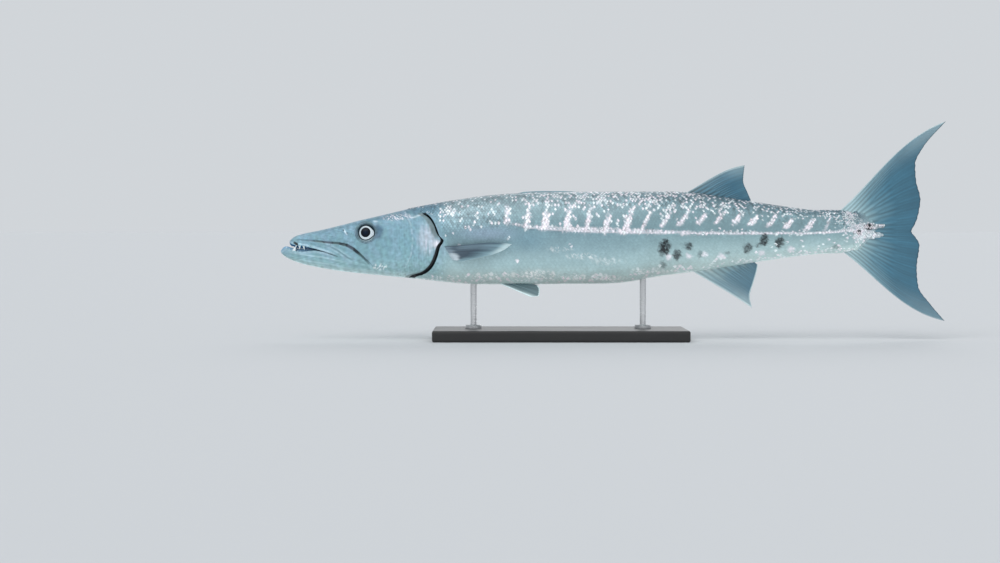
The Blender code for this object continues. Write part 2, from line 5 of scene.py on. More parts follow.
import bmesh
import bpy
import numpy as np
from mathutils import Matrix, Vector


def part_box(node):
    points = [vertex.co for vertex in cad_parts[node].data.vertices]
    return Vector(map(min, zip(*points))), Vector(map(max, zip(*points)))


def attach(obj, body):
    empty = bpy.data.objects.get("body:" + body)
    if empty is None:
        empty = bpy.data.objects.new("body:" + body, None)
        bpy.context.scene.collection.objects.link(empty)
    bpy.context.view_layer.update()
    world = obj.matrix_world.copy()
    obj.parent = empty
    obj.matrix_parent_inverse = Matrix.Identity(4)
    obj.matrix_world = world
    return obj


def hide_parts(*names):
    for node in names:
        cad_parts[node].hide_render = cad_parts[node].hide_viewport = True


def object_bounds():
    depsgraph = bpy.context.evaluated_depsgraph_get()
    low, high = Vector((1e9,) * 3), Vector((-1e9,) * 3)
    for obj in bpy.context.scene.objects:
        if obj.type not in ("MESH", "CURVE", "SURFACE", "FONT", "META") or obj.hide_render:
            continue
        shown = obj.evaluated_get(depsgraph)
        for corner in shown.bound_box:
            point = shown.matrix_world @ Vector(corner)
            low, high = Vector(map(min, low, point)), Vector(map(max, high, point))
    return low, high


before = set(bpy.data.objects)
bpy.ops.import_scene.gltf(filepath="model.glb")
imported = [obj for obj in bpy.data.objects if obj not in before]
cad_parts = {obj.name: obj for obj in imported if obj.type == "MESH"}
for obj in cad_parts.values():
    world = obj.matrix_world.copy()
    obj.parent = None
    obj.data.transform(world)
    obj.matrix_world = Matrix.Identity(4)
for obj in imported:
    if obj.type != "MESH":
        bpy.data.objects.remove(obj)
cad_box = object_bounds()

# Camera, floor and light
# The camera looks level at the fish's left side, a little from above, as the photograph does.
# The floor is a plain pale plane under soft studio light, with two low panels that light the
# belly from below.
TOTAL_LENGTH = cad_box[1].x - cad_box[0].x
PER_MILLE = TOTAL_LENGTH / 1000
TAIL_TIP_DROP = 103.9
LOWER_TAIL_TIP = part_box("caudal_fin_lower")[0].z
JAW_LEVEL = LOWER_TAIL_TIP + TAIL_TIP_DROP * PER_MILLE
PIXELS_WIDE = 1000
JAW_TIP_PIXEL = (281, 252)
TAIL_TIP_PIXEL = 945
IMAGE_CENTRE = (500, 281.5)
CAMERA_LENS = 70
CAMERA_RISE = math.radians(1.5)
SENSOR_WIDTH = 36

metres_a_pixel = TOTAL_LENGTH / (TAIL_TIP_PIXEL - JAW_TIP_PIXEL[0])
aim = Vector((
    cad_box[0].x + (IMAGE_CENTRE[0] - JAW_TIP_PIXEL[0]) * metres_a_pixel,
    0,
    JAW_LEVEL - (IMAGE_CENTRE[1] - JAW_TIP_PIXEL[1]) * metres_a_pixel,
))
distance = metres_a_pixel * PIXELS_WIDE * CAMERA_LENS / SENSOR_WIDTH
camera = bpy.data.objects.new("camera", bpy.data.cameras.new("camera"))
camera.data.lens = CAMERA_LENS
camera.data.sensor_width = SENSOR_WIDTH
camera.location = aim + distance * Vector((0, -math.cos(CAMERA_RISE), math.sin(CAMERA_RISE)))
camera.rotation_euler = (math.pi / 2 - CAMERA_RISE, 0, 0)
bpy.context.scene.collection.objects.link(camera)
bpy.context.scene.camera = camera
bpy.context.scene.view_settings.view_transform = "Standard"

FLOOR_SIZE = 400
FLOOR_COLOUR = (0.555, 0.57, 0.585)
FLOOR_ROUGHNESS = 0.9
SKY_COLOUR = (0.86, 0.90, 0.94)
SKY_STRENGTH = 0.74
LAMPS = (
    ("key_lamp", (-0.9, -1.5, 1.9), 50, 1.35),
    ("fill_lamp", (0.9, -2.4, 0.15), 70, 0.2),
    ("back_lamp", (0.5, 2.2, 1.6), 40, 0.6),
)

bpy.ops.mesh.primitive_plane_add(size=FLOOR_SIZE, location=(0, 0, 0))
floor = bpy.context.object
floor.name = "floor"
floor_paint = bpy.data.materials.new("floor_paint")
floor_paint.use_nodes = True
floor_shader = floor_paint.node_tree.nodes["Principled BSDF"]
floor_shader.inputs["Base Color"].default_value = (*FLOOR_COLOUR, 1)
floor_shader.inputs["Roughness"].default_value = FLOOR_ROUGHNESS
floor.data.materials.append(floor_paint)

sky = bpy.data.worlds.new("studio")
bpy.context.scene.world = sky
sky.use_nodes = True
sky_light = sky.node_tree.nodes["Background"]
sky_light.inputs["Color"].default_value = (*SKY_COLOUR, 1)
sky_light.inputs["Strength"].default_value = SKY_STRENGTH
for lamp_name, spot, width, power in LAMPS:
    lamp = bpy.data.objects.new(lamp_name, bpy.data.lights.new(lamp_name, "SUN"))
    lamp.data.angle = math.radians(width)
    lamp.data.energy = power
    lamp.rotation_euler = (-Vector(spot)).to_track_quat("-Z", "Y").to_euler()
    bpy.context.scene.collection.objects.link(lamp)

BOUNCE_PANELS = (("bounce_left", -0.26), ("bounce_right", 0.26))
BOUNCE_SIZE = (1.5, 0.32)
BOUNCE_LEVEL = 0.012
BOUNCE_POWER = 1.4
for panel_name, across in BOUNCE_PANELS:
    panel = bpy.data.objects.new(panel_name, bpy.data.lights.new(panel_name, "AREA"))
    panel.data.shape = "RECTANGLE"
    panel.data.size, panel.data.size_y = BOUNCE_SIZE
    panel.data.energy = BOUNCE_POWER
    panel.location = (0, across, BOUNCE_LEVEL)
    panel.rotation_euler = (math.pi, 0, 0)
    panel.visible_camera = False
    bpy.context.scene.collection.objects.link(panel)

# Skin of the head and body
# One smooth skin from the jaws to the end of the tail stalk, built as a fine grid whose rows
# run along the fish. The mouth is open between two rows, and columns follow the gill opening.
BACK = (
    (0, 2.5), (5, 9.5), (13.5, 17.8), (24, 24.5), (58.7, 32.4), (106.9, 44), (156.6, 56.3),
    (209.3, 68.4), (269.6, 78.9), (329.8, 86.4), (405, 89.8), (585.8, 90.7), (616, 89.5),
    (653.6, 84.3), (713.8, 75), (766.6, 67.2), (804.2, 63), (842, 63), (862, 60), (884, 46),
)
BELLY = (
    (0, -2.5), (9.8, -9), (24, -15.1), (37.6, -19.3), (88.9, -28.6), (149.1, -35.2),
    (209.3, -40.7), (269.6, -47), (299.7, -48.5), (480.4, -47.6), (510.5, -46.1),
    (570.8, -36.1), (631, -28.3), (721.4, -14.2), (781.6, -5.7), (811.8, -2.7), (842, -1.5),
    (862, 2), (884, 16),
)
HALF_WIDTH = (
    (0, 3), (14, 8), (30, 11.5), (60, 16), (90, 20), (130, 26), (160, 30), (200, 35),
    (240, 38.5), (300, 41), (400, 42), (480, 41), (560, 38), (640, 32), (720, 25), (780, 19.5),
    (830, 14), (850, 10.5), (870, 5), (884, 2),
)
WIDEST_AT = ((0, 0.5), (60, 0.45), (150, 0.45), (300, 0.5), (884, 0.5))
UPPER_FULLNESS = ((0, 2.4), (30, 3.0), (130, 3.4), (200, 2.6), (300, 2.2), (884, 2.0))
LOWER_FULLNESS = ((0, 2.2), (130, 2.3), (300, 2.2), (884, 2.0))
UPPER_LIP = (
    (13, 13.4), (21.1, 10.8), (36.1, 9), (51.2, 5.4), (66.3, 0.9), (81.3, -4.3), (86.5, -6.6),
)
LOWER_LIP = (
    (0, 1), (4.5, 4.2), (9.5, 5.8), (16.6, 3), (24.1, 1.1), (33.1, 0.6), (51.2, 2.4), (66.3, 0),
    (81.3, -4.9), (86.5, -6.6),
)
FLANK_ROW = ((86.5, -6.6), (112, -10), (160, -9), (250, 2), (400, 12), (700, 26), (884, 31))
GILL_EDGE = (
    (-50, 186), (-41, 190), (-35.2, 196), (-29.4, 212.3), (-18.1, 224.4), (-3, 231.2),
    (9, 234.9), (18.1, 241), (28.6, 234.9), (40.7, 230.4), (51.2, 222.9), (58, 213), (66, 206),
    (80, 202),
)
SHOULDER = (
    (-52, 194), (-43, 199), (-37.5, 205), (-33.9, 216.9), (-21.1, 230.4), (-6, 237.2),
    (7.5, 241), (17.3, 246.2), (24.1, 240.2), (36.1, 235.7), (49.7, 228.9), (58, 221),
    (66, 215), (84, 211),
)
SNOUT_START = 13
SETBACK_END = 30
NOSE_LENGTH = 5
MOUTH_CORNER = 86.5
CHEEK_END = 150
SHOULDER_END = 300
STALK_END = 884
UPPER_ROWS = 52
LOWER_ROWS = 40
PALATE_ROWS = 12
MOUTH_HOLLOW = 1.6
CORNER_FADE = 12
NOSE_FADE = 10
PALATE_SWELLING = 0.5
TONGUE_SWELLING = 0.46
UPPER_NOSE_LEVEL = 15.6
LOWER_NOSE_LEVEL = 0.5
SCALED_SKIN_DEPTH = 0.5
SECTION_STEPS = 160
STATION_PITCH = 4
GILL_SEARCH = (180, 262, 165)
CORNER_COLUMNS = 60
CHEEK_COLUMNS = 72
SHOULDER_COLUMNS = 44
SHOULDER_CROWDING = 1.15
BODY_COLUMNS = 146


def smooth(table, at):
    """Value of a smooth curve through the table's points that never overshoots them."""
    x, y = np.array(table, float).T
    at = np.clip(at, x[0], x[-1])
    rise = np.diff(y) / np.diff(x)
    before, after = rise[:-1], rise[1:]
    alike = before * after > 0
    bend = np.where(alike, 2 * before * after / np.where(alike, before + after, 1), 0)
    slope = np.concatenate((rise[:1], bend, rise[-1:]))
    step = np.clip(np.searchsorted(x, at, side="right") - 1, 0, len(x) - 2)
    width = x[step + 1] - x[step]
    share = (at - x[step]) / width
    rest = 1 - share
    return (
        y[step] * rest * rest * (1 + 2 * share)
        + y[step + 1] * share * share * (1 + 2 * rest)
        + width * share * rest * (slope[step] * rest - slope[step + 1] * share)
    )


def ease(low, high, value):
    """Smooth step from 0 at low to 1 at high."""
    share = np.clip((value - low) / (high - low), 0, 1)
    return share * share * (3 - 2 * share)


def fall(low, high, value):
    """Smooth step from 1 at low to 0 at high."""
    return 1 - ease(low, high, value)


def section_levels(along):
    """Heights of the back, of the belly and of the widest part of the body."""
    top, bottom = smooth(BACK, along), smooth(BELLY, along)
    return top, bottom, bottom + (top - bottom) * smooth(WIDEST_AT, along)


def section_point(along, angle):
    """Height and half width of the body, at an angle that runs from the back to the belly."""
    top, bottom, widest = section_levels(along)
    above = angle >= 0
    power = 2 / np.where(above, smooth(UPPER_FULLNESS, along), smooth(LOWER_FULLNESS, along))
    reach = np.where(above, top - widest, widest - bottom)
    up = widest + np.sign(angle) * np.abs(np.sin(angle)) ** power * reach
    turned = np.cos(angle)
    return up, np.sign(turned) * np.abs(turned) ** power * smooth(HALF_WIDTH, along)


def angle_at(along, up):
    """Angle round the section at which the body has a given height."""
    top, bottom, widest = section_levels(along)
    above = up >= widest
    share = np.clip(np.abs(up - widest) / np.where(above, top - widest, widest - bottom), 0, 1)
    fullness = np.where(above, smooth(UPPER_FULLNESS, along), smooth(LOWER_FULLNESS, along))
    return np.where(above, 1, -1) * np.arcsin(share ** (fullness / 2))


def flank(along, up):
    """Half width of the body at a given height, in thousandths."""
    return section_point(along, angle_at(along, up))[1]


def place(along, up, across):
    """World positions on the fish's left side from thousandths along, up and across."""
    along, up, across = np.broadcast_arrays(along, up, across)
    return np.stack((
        (along - 500) * PER_MILLE, -across * PER_MILLE, JAW_LEVEL + up * PER_MILLE), -1)


def surface(along, angle):
    """World points of the body's left side and the outward normals there."""
    points = place(along, *section_point(along, angle))
    ahead = place(along + 0.5, *section_point(along + 0.5, angle))
    behind = place(along - 0.5, *section_point(along - 0.5, angle))
    above = place(along, *section_point(along, angle + 0.01))
    below = place(along, *section_point(along, angle - 0.01))
    normals = np.cross(below - above, ahead - behind)
    return points, normals / np.linalg.norm(normals, axis=-1, keepdims=True)


def even_angles(along, start, end, count):
    """Angles from start to end round one section, evenly spaced on its surface."""
    angles = np.linspace(start, end, SECTION_STEPS)
    up, across = section_point(np.full(SECTION_STEPS, along), angles)
    run = np.concatenate(([0], np.cumsum(np.hypot(np.diff(up), np.diff(across)))))
    return np.interp(np.linspace(0, run[-1], count + 1), run, angles)


STATIONS = np.concatenate((
    np.arange(0.0, SHOULDER_END), np.arange(SHOULDER_END, STALK_END + 1.0, STATION_PITCH)))


def lip_angles(lip):
    """Angle of a jaw's lip at each station, and of the flank row behind the mouth."""
    up = np.where(STATIONS < MOUTH_CORNER, smooth(lip, STATIONS), smooth(FLANK_ROW, STATIONS))
    return angle_at(STATIONS, up)


upper_angles = np.array([
    even_angles(along, math.pi / 2, angle, UPPER_ROWS)
    for along, angle in zip(STATIONS, lip_angles(UPPER_LIP))
])
lower_angles = np.array([
    even_angles(along, angle, -math.pi / 2, LOWER_ROWS)
    for along, angle in zip(STATIONS, lip_angles(LOWER_LIP))
])


def row_angles(table, along):
    """Angle of each row of a table at each place along (columns by rows)."""
    return np.stack(
        [np.interp(along[:, row], STATIONS, table[:, row]) for row in range(along.shape[1])], 1)


def crossing(line, table):
    """Place along of each row where it crosses a line that is given by its height."""
    tries = np.linspace(*GILL_SEARCH)
    found = []
    for row in range(table.shape[1]):
        angle = np.interp(tries, STATIONS, table[:, row])
        past = tries - smooth(line, section_point(tries, angle)[0])
        found.append(np.interp(0, past, tries))
    return np.array(found)


# Each step of the slit: thousandths back from the edge, share of its width, depth in mm
SLIT_PROFILE = (
    (0.5, 0.04, 0.4), (0.7, 0.08, 1.2), (-0.6, 0.12, 2.2), (-2.2, 0.16, 3.4), (-2.0, 0.3, 5.2),
    (0, 0.5, 6.0), (0, 0.72, 5.2), (0, 0.88, 3.4), (0, 0.95, 1.5), (0, 0.985, 0.4),
)
SLIT_TOP = (54, 60)
ISTHMUS = (3, 9)


def columns(table, front):
    """Place along and slit depth of every point of a set of rows, column by column."""
    edge, shoulder = crossing(GILL_EDGE, table), crossing(SHOULDER, table)
    edge_up, edge_across = section_point(edge, row_angles(table, edge[None])[0])
    opening = ease(*ISTHMUS, edge_across) * fall(*SLIT_TOP, edge_up)
    width = shoulder - edge
    ones = np.ones(table.shape[1])
    parts = [(along * ones, 0 * ones) for along in front]
    parts += [
        (CHEEK_END + (edge - CHEEK_END) * share, 0 * ones)
        for share in np.linspace(0, 1, CHEEK_COLUMNS)[1:]
    ]
    for back, across, depth in SLIT_PROFILE:
        even = edge + width * across
        tucked = edge + back + width * across
        parts.append((even + (tucked - even) * opening, depth * opening))
    parts += [
        (shoulder + (SHOULDER_END - shoulder) * share, 0 * ones)
        for share in np.linspace(0, 1, SHOULDER_COLUMNS) ** SHOULDER_CROWDING
    ]
    body = np.linspace(SHOULDER_END, STALK_END, BODY_COLUMNS)[1:]
    parts += [(along * ones, 0 * ones) for along in body]
    return np.swapaxes(parts, 0, 1)


front_columns = np.concatenate((
    NOSE_LENGTH * (1 - np.cos(np.linspace(0, math.pi / 2, 9))),
    np.arange(NOSE_LENGTH, MOUTH_CORNER, 0.95)[1:],
    np.linspace(MOUTH_CORNER, CHEEK_END, CORNER_COLUMNS),
))
corner_column = int(np.searchsorted(front_columns, MOUTH_CORNER))
upper_along, upper_depth = columns(upper_angles, front_columns)
lower_along, lower_depth = columns(lower_angles, front_columns)
setback = 1 - np.minimum(upper_along, SETBACK_END) / SETBACK_END
upper_along = upper_along + setback * SNOUT_START


def oval_reach(along, up, oval):
    """Distance from an oval's middle, 1 at its rim: along, up, half length and half height."""
    return np.hypot((along - oval[0]) / oval[2], (up - oval[1]) / oval[3])


def oval_share(along, up, oval, low, high):
    """Share of an oval spot at each point, which fades from low to high of its reach."""
    return fall(low, high, oval_reach(along, up, oval))


def line_gap(line, along, up):
    """Distance of points from a line, the share of the way along it, and the side they lie on."""
    nearest = np.full(along.shape, 1e9)
    share = np.zeros(along.shape)
    side = np.ones(along.shape)
    points = np.array(line, float)
    for index, (start, end) in enumerate(zip(points, points[1:])):
        run = end - start
        t = np.clip(((along - start[0]) * run[0] + (up - start[1]) * run[1]) / (run @ run), 0, 1)
        gap = np.hypot(along - start[0] - t * run[0], up - start[1] - t * run[1])
        closer = gap < nearest
        nearest = np.where(closer, gap, nearest)
        share = np.where(closer, (index + t) / (len(points) - 1), share)
        turn = run[0] * (up - start[1]) - run[1] * (along - start[0])
        side = np.where(closer, np.sign(turn), side)
    return nearest, share, side


def swell(gap, width):
    """Bell curve that is 1 on a line and fades within a few widths."""
    return np.exp(-(gap / width) ** 2)


EYE_CENTRE = (129.6, 29.4)
EYE_SOCKET = (12.5, 15.2)
EYE_SOCKET_DEPTH = 6.0
ORBIT_RIM = 16.6
BEHIND_EYE = (150.6, 31.4, 9, 13)
NOSTRILS = ((95.6, 32.4, 1, 1), (101.0, 28.4, 1, 1))
FANG_PIT = ((21.5, 14.0), (25.2, 11.8))
JAW_GROOVE = (
    (14, 16.6), (28.6, 17.8), (46.7, 17.3), (66.3, 15.1), (88.9, 13.1), (100.9, 10.5),
    (111.4, 4.5), (122, -4.5), (128, -10.5), (135.5, -18.1), (141, -27),
)
SECOND_GROOVE = ((56, 13.3), (75, 8.5), (88, 1.7), (101.7, -7.8), (112, -15))
JAW_SEAM = ((86.5, -6.6), (112, -13), (137, -21), (160, -30))
PREOPERCLE_EDGE = (
    (188, 60), (197.3, 40.7), (200.3, 18.1), (197.3, -4.5), (188.3, -24.1), (176.2, -34),
    (150, -36),
)
SNOUT_RIDGE = ((30, 25), (70, 31), (100, 39), (118, 46), (150, 51))
JAW_FOLD = ((20, -7), (60, -11), (100, -19), (150, -31))
JAW_SHEEN = (((8, 0), (32, -3.5), (66, -8), (101, -16)), ((24, -11), (60, -16), (104, -24)))
COVER_SHEEN = ((186, 60), (198, 51), (211, 55.6), (222, 61), (231, 55))
# Each fold of the head: its line, its height in mm and its width in thousandths
HEAD_FOLDS = ((SECOND_GROOVE, -0.6, 1.0), (SNOUT_RIDGE, 0.8, 3.0), (JAW_FOLD, -0.35, 1.6))


def eye_reach(along, up):
    """Distance from the middle of the eye, in mm."""
    return np.hypot(along - EYE_CENTRE[0], up - EYE_CENTRE[1]) * PER_MILLE * 1000


def relief(along, up):
    """Raised and sunk forms of the head, in mm along the surface's normal."""
    gap, share, side = line_gap(JAW_GROOVE, along, up)
    depth = 0.4 + 1.9 * ease(0.12, 0.5, share) * fall(0.86, 1.0, share)
    height = -depth * swell(gap, 1.4)
    height += 0.7 * swell(gap - 3, 2.4) * (side < 0) * ease(0.1, 0.5, share)
    for line, fold, width in HEAD_FOLDS:
        gap, share, _ = line_gap(line, along, up)
        height += fold * swell(gap, width) * np.sin(np.pi * share) ** 0.5
    gap, share, _ = line_gap(JAW_SEAM, along, up)
    height -= 0.7 * swell(gap, 1.4) * (1 - share)
    gap, share, _ = line_gap(PREOPERCLE_EDGE, along, up)
    height -= 0.16 * swell(gap, 2.0) * fall(0.5, 0.9, share)
    for line in (UPPER_LIP, LOWER_LIP):
        gap, share, _ = line_gap(line, along, up)
        height += 0.75 * swell(gap - 1.4, 1.5) * fall(0.75, 1.0, share)
    reach = eye_reach(along, up)
    height -= EYE_SOCKET_DEPTH * fall(*EYE_SOCKET, reach)
    height += 0.7 * swell(reach - ORBIT_RIM, 1.1)
    height -= oval_share(along, up, BEHIND_EYE, 0, 1)
    for nostril in NOSTRILS:
        reach = oval_reach(along, up, nostril)
        height += 0.6 * swell(reach - 2.0, 1.0) - 1.4 * fall(0.5, 1.5, reach)
    gap = line_gap(FANG_PIT, along, up)[0]
    height -= 2.0 * fall(0.7, 2.2, gap)
    return height


def outer_grid(along, depth, table, nose_up):
    """Outer surface of one set of rows, with the nose rounded off and the relief added."""
    angle = row_angles(table, along)
    up, across = section_point(along, angle)
    normals = surface(along, angle)[1]
    beyond_nose = along - along[0, 0]
    round_off = np.sqrt(1 - (1 - np.clip(beyond_nose / NOSE_LENGTH, 0, 1)) ** 2)
    up = nose_up + (up - nose_up) * round_off
    points = place(along, up, across * round_off)
    scaled = ease(246, 262, along) * SCALED_SKIN_DEPTH
    on_head = fall(215, 240, along) * ease(6, 16, beyond_nose)
    offset = relief(along, up) * on_head - depth - scaled
    points = points + normals * offset[..., None] / 1000
    points[..., 1] = np.minimum(points[..., 1], 0)
    return points, up


def mouth_lining(lip, upward, swollen):
    """Inner wall of one jaw from its lip to the middle of the mouth (columns by rows)."""
    rows = []
    column = np.arange(corner_column + 1)
    fade = np.clip((corner_column - column) / CORNER_FADE, 0, 1)
    fade *= np.clip(column / NOSE_FADE, 0, 1)
    gape = np.maximum(upper_points[:, -1, 2] - lower_points[:, 0, 2], 0)[:corner_column + 1]
    for row in range(1, PALATE_ROWS + 1):
        share = row / PALATE_ROWS
        inner = lip[:corner_column + 1].copy()
        inner[:, 1] *= 1 - share
        hollow = -MOUTH_HOLLOW / 1000 * swell(share - 0.25, 0.2)
        inner[:, 2] -= upward * fade * (swollen * gape * ease(0.35, 0.75, share) + hollow)
        rows.append(inner)
    return np.stack(rows, 1)


upper_points, upper_up = outer_grid(upper_along, upper_depth, upper_angles, UPPER_NOSE_LEVEL)
lower_points, lower_up = outer_grid(lower_along, lower_depth, lower_angles, LOWER_NOSE_LEVEL)
lower_points[corner_column:, 0] = upper_points[corner_column:, -1]
upper_points[:, 0, 1] = 0
lower_points[:, -1, 1] = 0
upper_points[-1, :, 1] = 0
lower_points[-1, :, 1] = 0
palate = mouth_lining(upper_points[:, -1], 1, PALATE_SWELLING)
mouth_floor = mouth_lining(lower_points[:, 0], -1, TONGUE_SWELLING)
palate[-1] = (palate[-1] + mouth_floor[-1]) / 2
mouth_floor[-1] = palate[-1]


# Colours of the skin
# Silver flanks under a darker, speckled back, a row of pale slanting patches, a white stripe
# and scattered black blotches low on the rear half, on the skin and on its scales alike.
# Painted glints and glitter, a painted reflection of blue water, and painted shade in the head's
# creases, pits and gill opening lie over these colours.
LUMINANCE = np.array((0.3, 0.59, 0.11))
WATER_TINT = 0.34
FLANK_COLOURS = (
    (0.0, (124, 156, 168)), (0.06, (132, 166, 176)), (0.18, (130, 168, 180)),
    (0.4, (108, 156, 172)), (0.5, (116, 162, 176)), (0.62, (126, 170, 182)),
    (0.8, (146, 188, 194)), (0.9, (176, 212, 212)), (1.0, (206, 236, 232)),
)
REAR_COLOURS = (
    (0.0, (82, 120, 136)), (0.2, (104, 148, 160)), (0.45, (114, 160, 172)),
    (0.6, (130, 174, 182)), (0.8, (150, 190, 194)), (1.0, (198, 230, 226)),
)
HEAD_COLOURS = (
    (0.0, (78, 130, 158)), (0.1, (86, 144, 170)), (0.3, (102, 160, 182)),
    (0.5, (102, 162, 182)), (0.7, (102, 160, 176)), (0.88, (120, 174, 182)),
    (1.0, (176, 216, 216)),
)
# Colour of the pale patches, and of the painted glitter at the tail's root
PATCH_AND_GLITTER_COLOUR = (236, 228, 240)
BAR_COLOUR = (112, 156, 166)
# Colour of the white stripe, and of the painted glint spots
STRIPE_AND_GLINT_COLOUR = (234, 226, 238)
STRIPE_LINE = (
    (330, 45.5), (375, 36.5), (434, 32.5), (541, 29.2), (634, 28), (782, 27.2), (857, 31.5),
)
STRIPE_HALF = (
    (330, 1.4), (400, 2.8), (470, 3.8), (541, 3.4), (600, 2.3), (680, 1.6), (857, 1.8),
)
LATERAL_LINE = ((247, 52.7), (314.8, 49.7), (337, 45.2), (375, 34), (434, 30))
LATERAL_COLOUR = (74, 110, 126)
BLOTCH_COLOUR = (18, 34, 42)
PIT_SHADE_COLOUR = (2, 18, 28)
MOUTH_COLOUR = (24, 108, 166)
TONGUE_COLOUR = (104, 164, 204)
INNER_LIP_COLOUR = (120, 176, 198)
GROOVE_SHADE_COLOUR = (0, 24, 40)
GILL_PINK = (204, 208, 228)
MEMBRANE_COLOUR = (78, 104, 104)
HOLLOW_SHADE_COLOUR = (52, 98, 132)
ORBIT_LINE = (40, 76, 92)
EYE_SHADE = (24, 54, 66)
PATCHES = (
    (316, 0), (343, 0.75), (374, 1), (400.7, 1), (433.4, 0.9), (464.2, 1), (493, 0.95),
    (523.8, 1), (551, 0.8), (581, 1), (607.4, 0.65), (636, 0.9), (661.4, 1), (688, 0.9),
    (713.4, 0.9), (740, 1), (766.4, 1), (797.3, 0.9), (824, 0.35), (850, 0),
)
PATCH_SLANT = ((340, 0.1), (500, 0.3), (600, 0.75), (760, 0.75), (830, 0.5))
PATCH_FOOT = ((344, -1), (530, -1), (570, 8), (640, 15), (720, 12), (780, 6), (830, 4))
PATCH_HEAD = ((344, 32), (480, 36), (560, 36), (640, 34), (720, 31), (780, 26), (830, 22))
PATCH_WIDTH = ((344, 4.0), (480, 3.6), (560, 3.4), (640, 3.5), (830, 3.6))
BLOTCHES = (
    (575, 6.8, 9, 14.3, 1), (594.3, -4.5, 6, 9, 0.9), (611, 9, 5.3, 6.8, 0.9),
    (573.8, -18.8, 5.3, 6.8, 0.55), (628, -3, 3.8, 6, 0.5), (669.4, -1.1, 3.8, 2.6, 0.5),
    (699.6, 5.3, 6.8, 8.3, 0.9), (715.4, 9.8, 3, 3.8, 0.8), (724.9, 18.8, 6.8, 9.8, 1),
    (748, 14.5, 7.5, 9, 0.95), (835.4, 8.4, 6, 3.5, 0.5), (884.9, 38, 7.5, 5, 1),
    (869, 29.7, 4.2, 4.4, 0.9),
)
# Painted glints of single scales near the blotches: along, up, half length and half height
GLINT_SPOTS = (
    (581.3, -7.5, 6, 5), (611.4, -6, 5, 4.17), (635.5, -3, 5, 4.17), (661.1, -6, 6, 5),
    (721.4, -1.5, 6, 5), (765, 4.5, 6, 5),
)
BELLY_GLINTS = (
    (308, -37, 24, 7, 1), (345, -35, 16, 6, 0.7), (388, -34, 36, 9, 1), (470, -39, 60, 6, 0.9),
    (420, 4, 20, 4, 0.6), (452, -6, 26, 5, 0.7), (490, -14, 30, 6, 0.4), (150, -22, 14, 6, 0.6),
    (560, -28, 40, 5, 0.7),
)
GLINT_PITCH = 5.4
BELLY_GLINT_COLOUR = (252, 255, 255)
# Each wash: its oval and tint; the first is a painted reflection of blue water behind the gill
# cover, the second a teal tone
FLANK_WASHES = (((312, 28, 66, 16), (150, 178, 214)), ((372, 18, 46, 24), (98, 154, 178)))
# Painted glitter of glinting scales at the tail's root: along, up, half length and half height
TAIL_GLITTER = (884, 27, 26, 15)
BLOTCH_SHIFT = 9


def linear(red, green, blue):
    """Linear colour from one as it shows in the water, some of the water's tint taken out."""
    shown = np.array((red, green, blue)) / 255
    shown = shown + (shown @ LUMINANCE - shown) * WATER_TINT
    return np.where(shown <= 0.04045, shown / 12.92, ((shown + 0.055) / 1.055) ** 2.4)


def mixed(colour, other, share):
    """Colours mixed by a share at each point."""
    return colour + (other - colour) * share[..., None]


def washed(colour, tint, share):
    """Colours with a tint, as it shows in the water, washed over them by a share."""
    return mixed(colour, linear(*tint), share)


def ramp(table, share):
    """Colour at each share of a table of colours."""
    shares = [point[0] for point in table]
    colours = np.array([linear(*point[1]) for point in table])
    return np.stack([np.interp(share, shares, colours[:, channel]) for channel in range(3)], -1)


def wobble(along, up, scale, seed):
    """Smooth irregular waves between about -1 and 1."""
    draws = np.random.default_rng(seed)
    total = np.zeros(np.shape(along))
    for _ in range(6):
        turn, phase = draws.uniform(0, 2 * np.pi, 2)
        pace = draws.uniform(0.6, 1.7) / scale
        total += np.sin((along * np.cos(turn) + up * np.sin(turn)) * pace * 2 * np.pi + phase)
    return total / 3


def patch_share(along, up, side):
    """How much of the pale slanting patches and of the grey between them lies at each point."""
    above = up - smooth(STRIPE_LINE, along)
    foot, head = smooth(PATCH_FOOT, along), smooth(PATCH_HEAD, along)
    band = ease(325, 350, along) * fall(822, 840, along)
    ragged = 1.2 * wobble(along, up, 9, 3) + 1.0 * wobble(along, up, 4.5, 4)
    slanted = along - smooth(PATCH_SLANT, along) * (above - (foot + head) / 2) - side * 3
    middles, strengths = np.array(PATCHES).T
    number = np.round(np.interp(slanted, middles, np.arange(len(middles)))).astype(int)
    near = np.abs(slanted - middles[number])
    strength = strengths[number]
    level = np.clip((above - foot) / (head - foot), -1, 2) + 0.06 * ragged
    reach = ease(-0.1, 0.05, level) * fall(0.72, 1.02, level + 0.12 * np.sin(number * 2.4))
    width = smooth(PATCH_WIDTH, along) * (1.25 - 0.55 * np.clip(level, 0, 1))
    width = width * (1 + 0.2 * np.sin(number * 1.9 + 1)) * (0.6 + 0.4 * strength)
    broken = 1 - 0.75 * ease(0.45, 0.8, level) * ease(0.0, 0.3, wobble(along, up, 5.2, 18))
    patch = band * fall(width * 0.75, width * 1.25, near + ragged) * reach * broken
    patch = patch * ease(0, 0.7, strength)
    calm = ease(1, 3, above) * fall(0.8, 1.15, above / head) * band
    return patch, calm * (1 - patch)


def stripe_share(along, up):
    """How much of the white stripe along the flank lies at each point."""
    above = up - smooth(STRIPE_LINE, along)
    half = smooth(STRIPE_HALF, along)
    upper = np.maximum(above - half * 0.6, 0) + 0.9 * np.maximum(wobble(along, up, 8, 8), 0)
    gap = np.where(above > half * 0.6, upper, half * 0.6 - above)
    stripe = fall(half * 0.75, half * 1.2, gap) * ease(335, 365, along)
    stripe *= fall(880, 900, along)
    return stripe * (1 - 0.8 * ease(0.0, 1.2, above) * ease(0.0, 0.35, wobble(along, up, 4.2, 17)))


